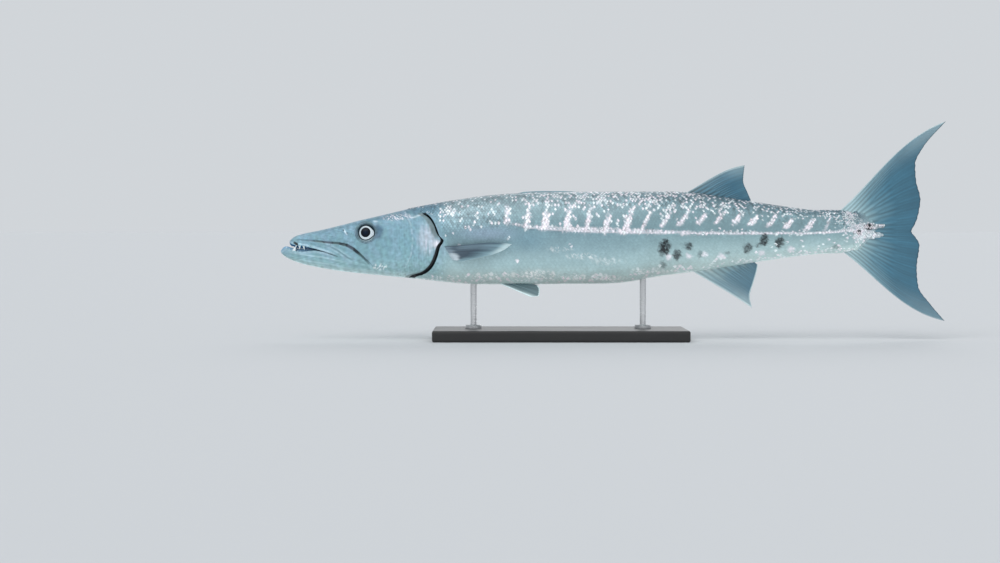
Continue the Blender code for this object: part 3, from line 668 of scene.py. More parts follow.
def markings(along, up, side):
    """Colour of the skin at thousandths along and up; side is -1 left and 1 right."""
    top, bottom, _ = section_levels(along)
    down = np.clip((top - up) / (top - bottom), 0, 1)
    body = mixed(ramp(FLANK_COLOURS, down), ramp(REAR_COLOURS, down), ease(430, 640, along))
    colour = mixed(ramp(HEAD_COLOURS, down), body, ease(225, 262, along))
    # Painted reflection of blue water behind the gill cover, and a teal wash further back
    for oval, tint in FLANK_WASHES:
        colour = washed(colour, tint, 0.5 * oval_share(along, up, oval, 0, 1))
    patch, bar = patch_share(along, up, side)
    colour = washed(colour, BAR_COLOUR, 0.55 * bar)
    colour = washed(colour, PATCH_AND_GLITTER_COLOUR, 0.95 * patch)
    colour = washed(colour, STRIPE_AND_GLINT_COLOUR, 0.92 * stripe_share(along, up))
    gap, share, _ = line_gap(LATERAL_LINE, along, up)
    colour = washed(colour, LATERAL_COLOUR, 0.55 * swell(gap, 1.1) * (1 - share) ** 0.3)
    dash = np.sin((along - 0.7 * up) * 2 * np.pi / GLINT_PITCH + 2 * wobble(along, up, 12, 14))
    dash = ease(0.1, 0.8, dash + 0.7 * wobble(along, up, 5, 15))
    for *oval, strength in BELLY_GLINTS:
        glint = strength * dash * oval_share(along, up, oval, 0.5, 1.1)
        colour = washed(colour, BELLY_GLINT_COLOUR, glint)
    # Painted glitter of glinting scales at the root of the tail
    reach = oval_reach(along, up, TAIL_GLITTER) + 0.2 * wobble(along, up, 14, 3)
    colour = washed(colour, PATCH_AND_GLITTER_COLOUR, 0.25 * fall(0.6, 1.1, reach))
    draws = np.random.default_rng(11)
    speck = 0.45 * ease(0.2, 0.4, wobble(along, up, 3.4, 16))
    for middle, level, length, height, strength in BLOTCHES:
        shift = draws.uniform(-BLOTCH_SHIFT, BLOTCH_SHIFT, 2) * (side > 0)
        away = along - shift[0] - 0.1 * (up - level)
        reach = oval_reach(away, up - shift[1] / 3, (middle, level, length, height))
        reach = reach + 0.16 * wobble(along, up, 6, int(middle))
        dark = strength * fall(0.84, 1.02, reach) * (1 - speck)
        colour = washed(colour, BLOTCH_COLOUR, dark)
    ragged = 0.3 * wobble(along, up, 5, 61)
    # Painted glints of single scales near the blotches
    for oval in GLINT_SPOTS:
        painted_highlight = 0.8 * fall(0.4, 1.0, oval_reach(along, up, oval) + ragged)
        colour = washed(colour, STRIPE_AND_GLINT_COLOUR, painted_highlight)
    return colour


LIP_HIGHLIGHT_COLOUR = (160, 200, 220)
EYE_HOLLOW = (146.6, 30.9, 11, 13)
ORBIT_SKIN = (96, 132, 150)
SNOUT_GLINT = (98.5, 30, 1.8, 5)
SNOUT_GLINT_SLANT = 0.6
SNOUT_GLINT_COLOUR = (206, 232, 246)
PREOPERCLE_SHADE = (74, 128, 154)
PREOPERCLE_PALE = (186, 216, 230)
CREST_COLOUR = (150, 196, 214)
BLUE_CLOUD = (146, 178, 214)
GREEN_CLOUD = (112, 172, 172)
GILL_FLUSH = (222, 20, 19, 30)
LOWER_MEMBRANE_COLOUR = (86, 114, 114)
NAPE_OVAL = (176, 52, 26, 6)
NAPE_SLANT = 0.08
NAPE_GLINT_COLOUR = (240, 232, 244)
NAPE_DARK = (92, 120, 138)
# Each soft line of the head: its line, offset, width, power of its fading, tint and strength
HEAD_LINES = (
    # The first row is painted shade in the second groove
    (SECOND_GROOVE, 0, 1.0, 1, GROOVE_SHADE_COLOUR, 0.45),
    (SECOND_GROOVE, 2.4, 1.4, 1, (170, 206, 222), 0.4),
    (COVER_SHEEN, 0, 1.1, 0.4, (214, 228, 238), 0.6),
    (JAW_SHEEN[0], 0, 1.2, 0.5, (176, 216, 226), 0.42),
    (JAW_SHEEN[1], 0, 1.2, 0.5, (176, 216, 226), 0.42),
)
# Each spot of the head: its oval, where its rim starts and ends to fade, tint and strength
# The nostrils are painted dark, shade in their pits; the last two spots are painted glints
HEAD_SPOTS = (
    (NOSTRILS[0], (0.7, 1.6), (40, 84, 104), 0.7),
    (NOSTRILS[1], (0.7, 1.6), (40, 84, 104), 0.7),
    ((236, 12, 8, 8), (0.3, 1.1), (232, 224, 238), 0.7),
    ((143.7, 46, 5, 2), (0.3, 1.1), (190, 220, 234), 0.6),
)


def jaw_tint(colour, along, up):
    """Painted shade in grooves, mouth line and fang pit, painted lip highlights, and soft head
    lines.
    """
    # Painted shade in the groove beside the upper jaw
    gap, share, _ = line_gap(JAW_GROOVE, along, up)
    bold = 1.0 + 0.75 * ease(0.3, 0.5, share) * fall(0.62, 0.72, share)
    dark = fall(bold, bold + 1.1, gap) * (0.15 + 0.85 * ease(0.1, 0.3, share))
    colour = washed(colour, GROOVE_SHADE_COLOUR, 0.97 * dark * fall(0.7, 0.98, share))
    for line, offset, width, power, tint, strength in HEAD_LINES:
        gap, share, _ = line_gap(line, along, up)
        fading = np.sin(np.pi * share) ** power
        colour = washed(colour, tint, strength * swell(gap - offset, width) * fading)
    for line in (UPPER_LIP, LOWER_LIP):
        gap, share, _ = line_gap(line, along, up)
        # Painted highlight along the raised rim of each lip
        painted_highlight = swell(gap - 2.0, 1.6) * fall(0.7, 1.0, share) * (along < MOUTH_CORNER)
        colour = washed(colour, LIP_HIGHLIGHT_COLOUR, 0.45 * painted_highlight)
        # Painted shade along the mouth line
        colour = washed(colour, GROOVE_SHADE_COLOUR, 0.5 * swell(gap, 0.6) * ease(0.4, 0.6, share))
    # Painted shade in the pit that takes the lower fang
    gap = line_gap(FANG_PIT, along, up)[0]
    return washed(colour, PIT_SHADE_COLOUR, fall(1.2, 2.4, gap))


def orbit_tint(colour, along, up):
    """Painted shade behind the eye and under its brow, the ring round it, and a painted snout
    glint.
    """
    # Painted shade in the hollow behind the eye
    colour = washed(colour, HOLLOW_SHADE_COLOUR, 0.8 * oval_share(along, up, EYE_HOLLOW, 0.5, 1.15))
    reach = eye_reach(along, up)
    colour = washed(colour, ORBIT_SKIN, 0.7 * fall(16.4, 18.0, reach))
    colour = washed(colour, ORBIT_LINE, 0.8 * swell(reach - 16.5, 0.7))
    brow = (up - EYE_CENTRE[1] + 0.3 * (along - EYE_CENTRE[0])) * PER_MILLE * 1000 / (reach + 1)
    brow_shade = fall(13.4, 15.6, reach) * ease(-0.1, 0.6, brow)
    colour = washed(colour, EYE_SHADE, 0.85 * brow_shade)
    # Painted glint between the nostrils
    upright_along = along - SNOUT_GLINT_SLANT * (SNOUT_GLINT[1] - up)
    snout_glint = oval_share(upright_along, up, SNOUT_GLINT, 0.4, 1.2)
    return washed(colour, SNOUT_GLINT_COLOUR, 0.75 * snout_glint)


def cover_tint(colour, along, up):
    """Lines, pink flush and membrane of the gill cover, painted nostril shade and glints, and the
    nape's painted glints and dark flecks.
    """
    flush = oval_share(along, up, GILL_FLUSH, 0.2, 1.1)
    streaks = 0.75 + 0.35 * wobble(along * 2.6, up * 0.3, 12, 41)
    colour = washed(colour, GILL_PINK, np.clip(0.75 * streaks * flush, 0, 1))
    before = smooth(GILL_EDGE, up) - along
    fleshy = ease(18, 26, up) * fall(56, 60, up) * fall(5, 9, before) * (before > -2)
    colour = washed(colour, MEMBRANE_COLOUR, 0.75 * fleshy)
    lower = fall(-33, -26, up) * fall(4, 8, before) * (before > -2)
    colour = washed(colour, LOWER_MEMBRANE_COLOUR, 0.7 * lower)
    # Painted shade in the nostrils and painted glints on the head
    for oval, fade, tint, strength in HEAD_SPOTS:
        colour = washed(colour, tint, strength * oval_share(along, up, oval, *fade))
    # Painted glints and dark flecks over the nape
    nape = oval_share(along, up - (along - 172) * NAPE_SLANT, NAPE_OVAL, 0.4, 1.1)
    glints_and_flecks = wobble(along, up, 3.6, 52) * wobble(along, up, 5.0, 53)
    colour = washed(colour, NAPE_GLINT_COLOUR, 0.9 * ease(0.02, 0.2, glints_and_flecks) * nape)
    return washed(colour, NAPE_DARK, 0.5 * ease(0.1, 0.35, -glints_and_flecks) * nape)


def head_tint(colour, along, up, across, depth):
    """Everything drawn on the head, its grain, and painted shade that blackens the gill opening.
    """
    rise = up - 0.5 * (smooth(BACK, along) + smooth(BELLY, along))
    girth = np.hypot(rise, across) * np.arctan2(rise, np.abs(across))
    colour = orbit_tint(jaw_tint(colour, along, up), along, up)
    gap, share, side = line_gap(PREOPERCLE_EDGE, along, up)
    fading = fall(0.5, 0.8, share) * (0.6 + 0.4 * wobble(along, up, 9, 78))
    colour = washed(colour, PREOPERCLE_SHADE, 0.35 * swell(gap - 1.8, 1.3) * fading * (side > 0))
    colour = washed(colour, PREOPERCLE_PALE, 0.5 * swell(gap, 1.0) * fading)
    under_back = smooth(BACK, along) - up
    crest = fall(1.5, 5, under_back) * fall(90, 170, along)
    colour = washed(colour, CREST_COLOUR, 0.4 * crest)
    cloud = wobble(along, girth, 24, 79)
    colour = washed(colour, BLUE_CLOUD, 0.16 * ease(0.1, 0.7, cloud))
    colour = washed(colour, GREEN_CLOUD, 0.2 * ease(0.1, 0.7, -cloud))
    colour = cover_tint(colour, along, up)
    jaw = fall(-8, -2, up) * fall(110, 160, along)
    streaks = wobble(along * 0.16, up + along * 0.17, 3.4, 71)
    fine_streaks = wobble(along * 0.1, up + along * 0.17, 2.2, 77)
    speckle = wobble(along, girth, 3.0, 72) * wobble(along, girth, 4.1, 73)
    snout = fall(100, 150, along) * (up > 6)
    cover = ease(150, 190, along) * ease(2, 16, under_back) * wobble(along, girth * 0.5, 6, 74)
    tone = 1 + (0.1 * streaks + 0.12 * fine_streaks) * jaw + 0.1 * cover
    tone = tone + 0.26 * speckle * (0.35 + 0.65 * snout) * (1 - 0.7 * jaw)
    tone = tone + 0.09 * wobble(along, girth, 17, 75) + 0.08 * wobble(along, girth, 6, 76)
    # Painted shade blackens the gill opening by its depth
    return washed(colour * tone[..., None], PIT_SHADE_COLOUR, ease(0.2, 1.1, depth))


WELD = 1e-6


def painted_piece(name, points, faces, colours):
    """Mesh object in the scene with a colour at each of its points."""
    mesh = bpy.data.meshes.new(name)
    mesh.from_pydata(points.tolist(), [], faces)
    paint = mesh.color_attributes.new("paint", "FLOAT_COLOR", "POINT")
    paint.data.foreach_set("color", np.c_[colours, np.ones(len(colours))].ravel())
    piece = bpy.data.objects.new(name, mesh)
    bpy.context.scene.collection.objects.link(piece)
    return piece


def grid_quads(index):
    """Corners of every quad of a grid of point numbers."""
    quads = np.stack((index[:-1, :-1], index[:-1, 1:], index[1:, 1:], index[1:, :-1]), -1)
    return quads.reshape(-1, 4)


class Mould:
    """Grids of points gathered into one mesh, with a colour at each point."""

    def __init__(self):
        self.points, self.faces, self.colours = [], [], []
        self.count = 0

    def add(self, points, colours, flip=False):
        """Add a grid of quads, which faces along its rows crossed with its columns."""
        rows, across = points.shape[:2]
        quads = grid_quads(self.count + np.arange(rows * across).reshape(rows, across))
        self.faces.append(quads[:, ::-1] if flip else quads)
        self.points.append(points.reshape(-1, 3))
        self.colours.append(np.broadcast_to(colours, points.shape).reshape(-1, 3))
        self.count += rows * across

    def cast(self, name, recalculated=False):
        """Smooth piece of everything gathered, its doubled points merged."""
        piece = painted_piece(
            name, np.concatenate(self.points), np.concatenate(self.faces).tolist(),
            np.concatenate(self.colours))
        shape = bmesh.new()
        shape.from_mesh(piece.data)
        bmesh.ops.remove_doubles(shape, verts=shape.verts, dist=WELD)
        bmesh.ops.dissolve_degenerate(shape, edges=shape.edges, dist=WELD)
        if recalculated:
            bmesh.ops.recalc_face_normals(shape, faces=shape.faces)
        shape.to_mesh(piece.data)
        shape.free()
        piece.data.shade_smooth()
        return piece


MIRROR = np.array((1, -1, 1))
SIDES = ((-1, "left"), (1, "right"))
skin_mould = Mould()
inner_lip = fall(0.1, 0.3, np.linspace(0, 1, PALATE_ROWS))
for side in (-1, 1):
    for points, along, up, depth in (
        (upper_points, upper_along, upper_up, upper_depth),
        (lower_points, lower_along, lower_up, lower_depth),
    ):
        across = -points[..., 1] / PER_MILLE
        colours = head_tint(markings(along, up, side), along, up, across, depth)
        skin_mould.add(points if side < 0 else points * MIRROR, colours, flip=side > 0)
    for lining, flesh, facing_up in (
        (palate, MOUTH_COLOUR, False), (mouth_floor, TONGUE_COLOUR, True),
    ):
        inside = np.broadcast_to(linear(*flesh), lining.shape)
        inside = washed(inside, INNER_LIP_COLOUR, 0.8 * inner_lip[None])
        lining = lining if side < 0 else lining * MIRROR
        skin_mould.add(lining, inside, flip=facing_up != (side > 0))
skin = skin_mould.cast("skin")


def fed(tree, node, links):
    """Joins or sets a node's inputs, and returns the node."""
    for socket, source in links.items():
        if isinstance(source, bpy.types.NodeSocket):
            tree.links.new(source, node.inputs[socket])
        else:
            node.inputs[socket].default_value = source
    return node


def linked(tree, kind, links=(), **settings):
    """New node with its settings made and its inputs joined or set."""
    node = tree.nodes.new(kind)
    for key, value in settings.items():
        setattr(node, key, value)
    return fed(tree, node, dict(links))


def new_finish(name):
    """Material of one finish, with its node tree and its shader."""
    material = bpy.data.materials.new(name)
    material.use_nodes = True
    return material, material.node_tree, material.node_tree.nodes["Principled BSDF"]


def maths(tree, operation, *values):
    """Result of one Math node on sockets or numbers."""
    return linked(
        tree, "ShaderNodeMath", dict(enumerate(values)), operation=operation).outputs[0]


def made_shimmer():
    """Group that breaks a silver colour up into fine light and dark flecks."""
    group = bpy.data.node_groups.new("silver_shimmer", "ShaderNodeTree")
    for label, kind, value in (
        ("Colour", "NodeSocketColor", (0.5, 0.5, 0.5, 1)),
        ("Fineness", "NodeSocketFloat", 400.0),
        ("Strength", "NodeSocketFloat", 0.2),
        ("Roughness", "NodeSocketFloat", 0.35),
    ):
        socket = group.interface.new_socket(label, in_out="INPUT", socket_type=kind)
        socket.default_value = value
    for label, kind in (
        ("Colour", "NodeSocketColor"), ("Roughness", "NodeSocketFloat"),
        ("Height", "NodeSocketFloat"),
    ):
        group.interface.new_socket(label, in_out="OUTPUT", socket_type=kind)
    enter, leave = group.nodes.new("NodeGroupInput"), group.nodes.new("NodeGroupOutput")
    spot = linked(group, "ShaderNodeTexCoord").outputs["Object"]
    stretch = linked(group, "ShaderNodeMapping", {"Vector": spot, "Scale": (0.55, 1, 1)})
    fine = linked(group, "ShaderNodeTexNoise", {
        "Vector": stretch.outputs[0], "Scale": enter.outputs["Fineness"], "Detail": 4,
        "Roughness": 0.6}).outputs[0]
    broad = linked(group, "ShaderNodeTexNoise", {"Vector": spot, "Scale": 26, "Detail": 3})
    patchy = linked(
        group, "ShaderNodeMapRange", {0: broad.outputs[0], 1: 0.3, 2: 0.7, 3: 0.93, 4: 1.06})
    signed = maths(group, "SUBTRACT", fine, 0.5)
    scaled = maths(group, "MULTIPLY_ADD", signed, enter.outputs["Strength"], 1.0)
    bright = maths(group, "MULTIPLY", scaled, patchy.outputs[0])
    toned = linked(
        group, "ShaderNodeVectorMath", {0: enter.outputs["Colour"], 1: bright},
        operation="MULTIPLY")
    rough = maths(group, "MULTIPLY_ADD", signed, 0.3, enter.outputs["Roughness"])
    fed(group, leave, {"Colour": toned.outputs[0], "Roughness": rough, "Height": fine})
    return group


silver_shimmer = made_shimmer()


def painted_material(name, fineness, strength, roughness, metallic, bump):
    """Material that takes its colour from the piece's own paint, broken up by the shimmer."""
    material, tree, shader = new_finish(name)
    paint = linked(tree, "ShaderNodeAttribute", attribute_name="paint").outputs["Color"]
    shimmer = linked(
        tree, "ShaderNodeGroup",
        {"Colour": paint, "Fineness": fineness, "Strength": strength, "Roughness": roughness},
        node_tree=silver_shimmer)
    ripple = linked(
        tree, "ShaderNodeBump",
        {"Height": shimmer.outputs["Height"], "Strength": bump, "Distance": 0.0004})
    fed(tree, shader, {
        "Base Color": shimmer.outputs["Colour"], "Roughness": shimmer.outputs["Roughness"],
        "Normal": ripple.outputs[0], "Metallic": metallic})
    return material


skin.data.materials.append(painted_material(
    "silver_skin", fineness=420, strength=0.25, roughness=0.42, metallic=0.15, bump=0.35))
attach(skin, "root")
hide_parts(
    "head", "upper_jaw", "lower_jaw", "gill_cover_left", "gill_cover_right",
    "trunk_front", "trunk_rear", "tail_stalk")

# Scales
# Thin smooth scales in staggered rows, finer on the back than along the flank. Each starts
# under those ahead of it and lifts a little towards its rounded rear edge.
HALF_GIRTH = 167
ROW_PITCH = ((0, 3.4), (0.44, 3.5), (0.54, 4.8), (0.8, 5.0), (1, 3.8))
COLUMN_PITCH = ((0, 4.6), (0.44, 4.7), (0.54, 6.4), (0.8, 6.6), (1, 5.0))
PITCH_ALONG = ((150, 0.8), (280, 1), (600, 1), (884, 0.66))
SCALE_LENGTH = 1.75
SCALE_HALF_WIDTH = 1.04
SCALE_STEPS = (0, 0.42, 0.78, 1.0)
SCALE_LANES = (-1, -0.62, 0, 0.62, 1)
SCALE_ROUNDING = 0.34
SCALE_ROOT_WIDTH = 0.66
SCALE_THICKNESS = 0.3
SCALE_SINK = 0.45
SCALES_START = 150.0
SCALES_END = 874
NAPE_REACH = 40
NAPE_RISE = (57, 66)
BACK_COAT_END = 0.42
PATCH_SIZE = 0.003
GIRTH_STEPS = 48
GIRTH_STATIONS = 184
UNDERSIDE_SHADE = 0.75
GLINT_PINK = (252, 238, 248)
GLINT_BLUE = (240, 248, 252)
NAPE_SHEEN = (251, 61, 14, 8)

steps, lanes = np.meshgrid(SCALE_STEPS, SCALE_LANES, indexing="ij")
scale_out = steps * (1 - SCALE_ROUNDING * lanes ** 2)
scale_breadth = np.sin(np.pi * np.clip(steps * 0.8, 0, 0.5))
scale_breadth = lanes * (SCALE_ROOT_WIDTH + (1 - SCALE_ROOT_WIDTH) * scale_breadth)
girth_stations = np.linspace(SCALES_START, STALK_END, GIRTH_STATIONS)
girth_angles = np.array([
    even_angles(along, math.pi / 2, -math.pi / 2, GIRTH_STEPS) for along in girth_stations
])


def angle_round(along, share):
    """Angle round the section at a share of the way from the back to the belly."""
    column = (along - girth_stations[0]) / (girth_stations[1] - girth_stations[0])
    column = np.clip(column, 0, len(girth_stations) - 1.001)
    row = np.clip(share * GIRTH_STEPS, 0, GIRTH_STEPS - 0.001)
    near, high = column.astype(int), row.astype(int)
    ahead, below = column - near, row - high
    first = girth_angles[near, high] * (1 - ahead) + girth_angles[near + 1, high] * ahead
    second = girth_angles[near, high + 1] * (1 - ahead) + girth_angles[near + 1, high + 1] * ahead
    return first * (1 - below) + second * below


def scale_roots(first_share, last_share):
    """Place along, share round, pitch along and pitch round of every scale in a band of rows."""
    found = []
    share, row = ROW_PITCH[0][1] / 2 / HALF_GIRTH, 0
    while share < 1:
        spacing = float(smooth(ROW_PITCH, share)) / HALF_GIRTH
        if first_share <= share < last_share:
            column = float(smooth(COLUMN_PITCH, share))
            along = SCALES_START
            while along < SCALES_END:
                pitch = column * float(smooth(PITCH_ALONG, along))
                seat = along + (row % 2) * pitch / 2
                up = section_point(seat, angle_round(np.array(seat), np.array(share)))[0]
                front = smooth(SHOULDER, up) + 2 - NAPE_REACH * ease(*NAPE_RISE, up)
                if seat > front:
                    found.append((seat, share, pitch, spacing))
                along += pitch
        share += spacing
        row += 1
    return np.array(found).T


def each(values):
    """One value of each scale, set out over the points of its plate."""
    return np.reshape(values, (-1, 1, 1))


def joined_plates(name, side, tops, bottoms, colours, spots):
    """One mesh of many small plates: top grid, sides and underside, colours and own UV map."""
    count, rows, across = tops.shape[:3]
    size = rows * across
    grid = np.arange(size).reshape(rows, across)
    border = np.concatenate((grid[0], grid[1:, -1], grid[-1, -2::-1], grid[-2:0:-1, 0]))
    under = size + np.arange(len(border))
    sides = np.stack((border, under, np.roll(under, -1), np.roll(border, -1)), -1)
    walls = np.concatenate((grid_quads(grid), sides))
    closing = under[::-1]
    if side > 0:
        tops, bottoms = tops * MIRROR, bottoms * MIRROR
        walls, closing = walls[:, ::-1], closing[::-1]
    vertices = np.concatenate(
        (tops.reshape(count, size, 3), bottoms.reshape(count, size, 3)[:, border]), 1)
    tints = colours.reshape(count, size, 3)
    tints = np.concatenate((tints, tints[:, border] * UNDERSIDE_SHADE), 1)
    faces = []
    for start in range(0, count * vertices.shape[1], vertices.shape[1]):
        faces += (walls + start).tolist()
        faces.append((closing + start).tolist())
    piece = painted_piece(name, vertices.reshape(-1, 3), faces, tints.reshape(-1, 3))
    local = np.stack(np.meshgrid(
        np.linspace(0, 1, rows), np.linspace(0, 1, across), indexing="ij"), -1).reshape(size, 2)
    local = np.concatenate((local, local[border]))
    spread = spots[:, None] + (local[None] - 0.5) * PATCH_SIZE
    unwrap = piece.data.uv_layers.new(name="OFBake")
    corners = np.empty(len(piece.data.loops), int)
    piece.data.loops.foreach_get("vertex_index", corners)
    unwrap.data.foreach_set("uv", spread.reshape(-1, 2)[corners].ravel())
    piece.data.shade_smooth()
    piece.data.set_sharp_from_angle(angle=math.radians(50))
    return piece


def plate_colours(draws, colour, sparkle, tone_spread, rim_shading):
    """Colours over each plate: painted highlight in its middle, painted shade at its rim, now and
    then a painted glint.
    """
    count = len(colour)
    rim_shading = each(rim_shading)
    tone = 1 + draws.normal(0, 1, count) * tone_spread
    colour = colour * each(np.clip(tone, 0.55, 1.5))[..., None]
    # Painted highlight in each plate's middle and painted shade at its rim
    heart = swell(np.hypot((steps - 0.72) / 0.3, lanes / 0.62), 1)
    colour = colour * (0.95 + (0.5 * heart - 0.22) * rim_shading)[..., None]
    glint = each(draws.uniform(0, 1, count) < sparkle)
    spot = np.hypot((steps - draws.uniform(0.65, 0.85, (count, 1, 1))) / 0.4,
                    (lanes - draws.uniform(-0.3, 0.3, (count, 1, 1))) / 0.95)
    glint = glint * draws.uniform(0.65, 1, (count, 1, 1)) * fall(0.5, 1.0, spot)
    pink = draws.uniform(0, 1, (count, 1, 1, 1)) < 0.5
    dark = each(draws.uniform(0, 1, count) < sparkle * 0.9)
    dark = dark * 0.45 * fall(0.3, 0.8, steps + 0.3 * lanes)
    dark = dark * np.clip(1.4 * rim_shading - 0.1, 0, 1)
    colour = colour * (1 - dark)[..., None]
    return mixed(colour, np.where(pink, linear(*GLINT_PINK), linear(*GLINT_BLUE)), glint * 0.95)


def coat_sheen(along, up, down, patch, calm):
    """Painted glint chance, tone spread and painted light and shade of each scale, from where it
    grows.
    """
    over_stripe = up - smooth(STRIPE_LINE, along)
    stripe = swell(over_stripe - 1.5, 3.0) * ease(335, 365, along) * (over_stripe > -1.5)
    busy = fall(0.3, 0.42, down)
    before = fall(330, 365, along)
    nape = oval_share(along, up, NAPE_SHEEN, 0.5, 1.1)
    dense = 0.4 + 0.12 * ease(380, 420, along) * fall(560, 620, along)
    dense = dense - 0.08 * ease(640, 740, along)
    sparkle = dense * busy * (1 - 0.85 * calm) * (1 - 0.75 * before) + 0.8 * nape
    sparkle += 0.035 * before * fall(0.4, 0.55, down) + 0.5 * patch + 0.45 * stripe
    sparkle += 0.36 * ease(0.85, 0.93, down) * fall(0.965, 1, down)
    sparkle += 0.12 * ease(0.66, 0.8, down) * ease(690, 730, along)
    sparkle += 0.5 * ease(830, 850, along) * fall(0.62, 0.75, down) + 0.004
    spread = 0.03 + (0.13 + 0.06 * ease(600, 700, along)) * busy * (1 - 0.7 * calm)
    rim_shading = 0.22 + 0.6 * busy * (1 - 0.6 * calm) + 0.7 * patch + 0.9 * stripe
    rim_shading += 0.3 * before * fall(0.3, 0.55, down) + 0.25 * nape
    return sparkle, spread, rim_shading


def grown_scales(name, side, first_share, last_share, seed):
    """The scales of one side between two shares round, as one piece."""
    draws = np.random.default_rng(seed)
    roots, shares, pitch, spacing = scale_roots(first_share, last_share)
    count = len(roots)
    roots = roots + draws.normal(0, 0.05, count) * pitch
    length = pitch * SCALE_LENGTH * draws.uniform(0.95, 1.06, count)
    along = each(roots) + each(length) * scale_out
    wide = SCALE_HALF_WIDTH * spacing * draws.uniform(0.94, 1.06, count)
    angle = angle_round(along, np.clip(each(shares) + each(wide) * scale_breadth, 0, 1))
    points, normals = surface(np.minimum(along, STALK_END - 0.6), angle)
    up = section_point(along, angle)[0]
    middle_along, middle_up = along[:, 2, 2], up[:, 2, 2]
    top, bottom, _ = section_levels(middle_along)
    middle_down = (top - middle_up) / (top - bottom)
    rough = fall(0.36, 0.5, middle_down)
    lift = (0.1 + 0.22 * rough + 0.1 * ease(0.8, 1, middle_down)) * draws.uniform(0.6, 1.4, count)
    tilt = draws.normal(0, 0.05 + 0.09 * rough, count)
    height = SCALE_SINK * (steps ** 0.7 - 1) - 0.1 * lanes ** 2
    height = height + each(lift) * steps ** 1.5 + each(tilt) * lanes * steps
    tops = points + normals * height[..., None] / 1000
    bottoms = tops - normals * SCALE_THICKNESS / 1000
    even = markings(middle_along, middle_up, side)[:, None, None, :]
    colour = 0.2 * even + 0.8 * markings(along, up, side)
    sheen = coat_sheen(
        roots, middle_up, middle_down, *patch_share(middle_along, middle_up, side))
    colours = plate_colours(draws, colour, *sheen)
    spots = np.stack((roots / 1000, (side > 0) * 0.5 + shares * 0.48), -1)
    return joined_plates(name, side, tops, bottoms, colours, spots)


scale_material = painted_material(
    "silver_scale", fineness=620, strength=0.35, roughness=0.4, metallic=0.2, bump=0.35)
for side, word in SIDES:
    for part, first_share, last_share, seed in (
        ("back", 0, BACK_COAT_END, 20), ("flank", BACK_COAT_END, 1, 30),
    ):
        coat = grown_scales(
            f"scales_{part}_{word}", side, first_share, last_share, seed + side)
        coat.data.materials.append(scale_material)
        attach(coat, "root")

# Scales on the root of the tail fin
# Small scales, bright with painted glints, run out from the body over the tail fin's root in two
# blunt tongues.
TAIL_SCALE_PITCH = 3.6
TAIL_ROW_PITCH = 2.0
TAIL_SCALES_START = 858
TAIL_SCALES_LEVEL = 34
TAIL_SCALES_REACH = (864, 26, 22)
TAIL_TONGUES = ((39, 22, 3.4), (25.5, 18, 4.6))
TAIL_ROOT_HALF = 2.5
TAIL_FADE = 12
TAIL_FAN = 0.012
TAIL_ROWS = 60
TAIL_FIRST_ROW = 2
TAIL_ROOT_COLOUR = (112, 158, 170)
TAIL_SILVER = (150, 180, 192)


def tail_scale_roots():
    """Place along and up of every scale on the tail's root, share to the rim, and tongue."""
    start, reach, spread = TAIL_SCALES_REACH
    found = []
    for row in range(TAIL_ROWS):
        up = TAIL_FIRST_ROW + row * TAIL_ROW_PITCH
        tongue = max(
            longer * (1 - abs(up - level) / width) for level, longer, width in TAIL_TONGUES)
        limit = start + reach * math.exp(-((up - TAIL_SCALES_LEVEL) / spread) ** 2)
        limit += max(tongue, 0)
        along = TAIL_SCALES_START + (row % 2) * TAIL_SCALE_PITCH / 2
        while along < limit:
            above_belly = smooth(BELLY, min(along, 870)) + 3 < up
            if above_belly and up < smooth(BACK, min(along, 862)) - 2:
                found.append((along, up, (limit - along) / TAIL_FADE, tongue > 0))
            along += TAIL_SCALE_PITCH
    return np.array(found).T


def tail_scales(name, side, seed):
    """The scales on one side of the tail fin's root, as one piece."""
    draws = np.random.default_rng(seed)
    roots, rises, inward, tongue = tail_scale_roots()
    count = len(roots)
    roots = roots + draws.normal(0, 0.3, count)
    length = TAIL_SCALE_PITCH * SCALE_LENGTH * draws.uniform(0.9, 1.1, count)
    along = each(roots) + each(length) * scale_out
    fan = (rises - TAIL_SCALES_LEVEL) * TAIL_FAN
    up = each(rises) - TAIL_ROW_PITCH * 1.1 * scale_breadth + each(fan * length) * scale_out
    height = 0.45 * steps - 0.15 - 0.1 * lanes ** 2
    height = height + each(draws.normal(0, 0.08, count)) * lanes * steps
    half = np.maximum(flank(along, up), TAIL_ROOT_HALF) + height
    tops, bottoms = place(along, up, half), place(along, up, half - SCALE_THICKNESS)
    colour = markings(np.minimum(along, STALK_END), up, side)
    colour = washed(colour, TAIL_SILVER, 0.5 * ease(866, 884, along))
    # Painted glitter across the middle of the tail's root
    colour = washed(colour, PATCH_AND_GLITTER_COLOUR, 0.15 * fall(0.4, 1.1, np.abs(up - 30) / 16))
    ending = fall(0, 1, inward) * (1 - 0.75 * tongue)
    colour = washed(colour, TAIL_ROOT_COLOUR, 0.75 * each(ending))
    for *oval, strength in BLOTCHES[-2:]:
        dark = strength * oval_share(along, up, oval, 0.8, 1.1)
        colour = washed(colour, BLOTCH_COLOUR, dark)
    # Chance of a painted glint on each scale
    bright = 0.5 * fall(0.6, 1.2, np.abs(rises - 29) / 14) + 0.1
    bright = bright * (1 - 0.8 * ease(872, 890, roots)) + 0.35 * tongue
    colours = plate_colours(draws, colour, bright * (1 - 0.6 * ending), 0.08, 0.8)
    spots = np.stack((roots / 1000, (side > 0) * 0.5 + rises / 200), -1)
    return joined_plates(name, side, tops, bottoms, colours, spots)


for side, word in SIDES:
    coat = tail_scales("tail_scales_" + word, side, 50 + side)
    coat.data.materials.append(scale_material)
    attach(coat, "root")

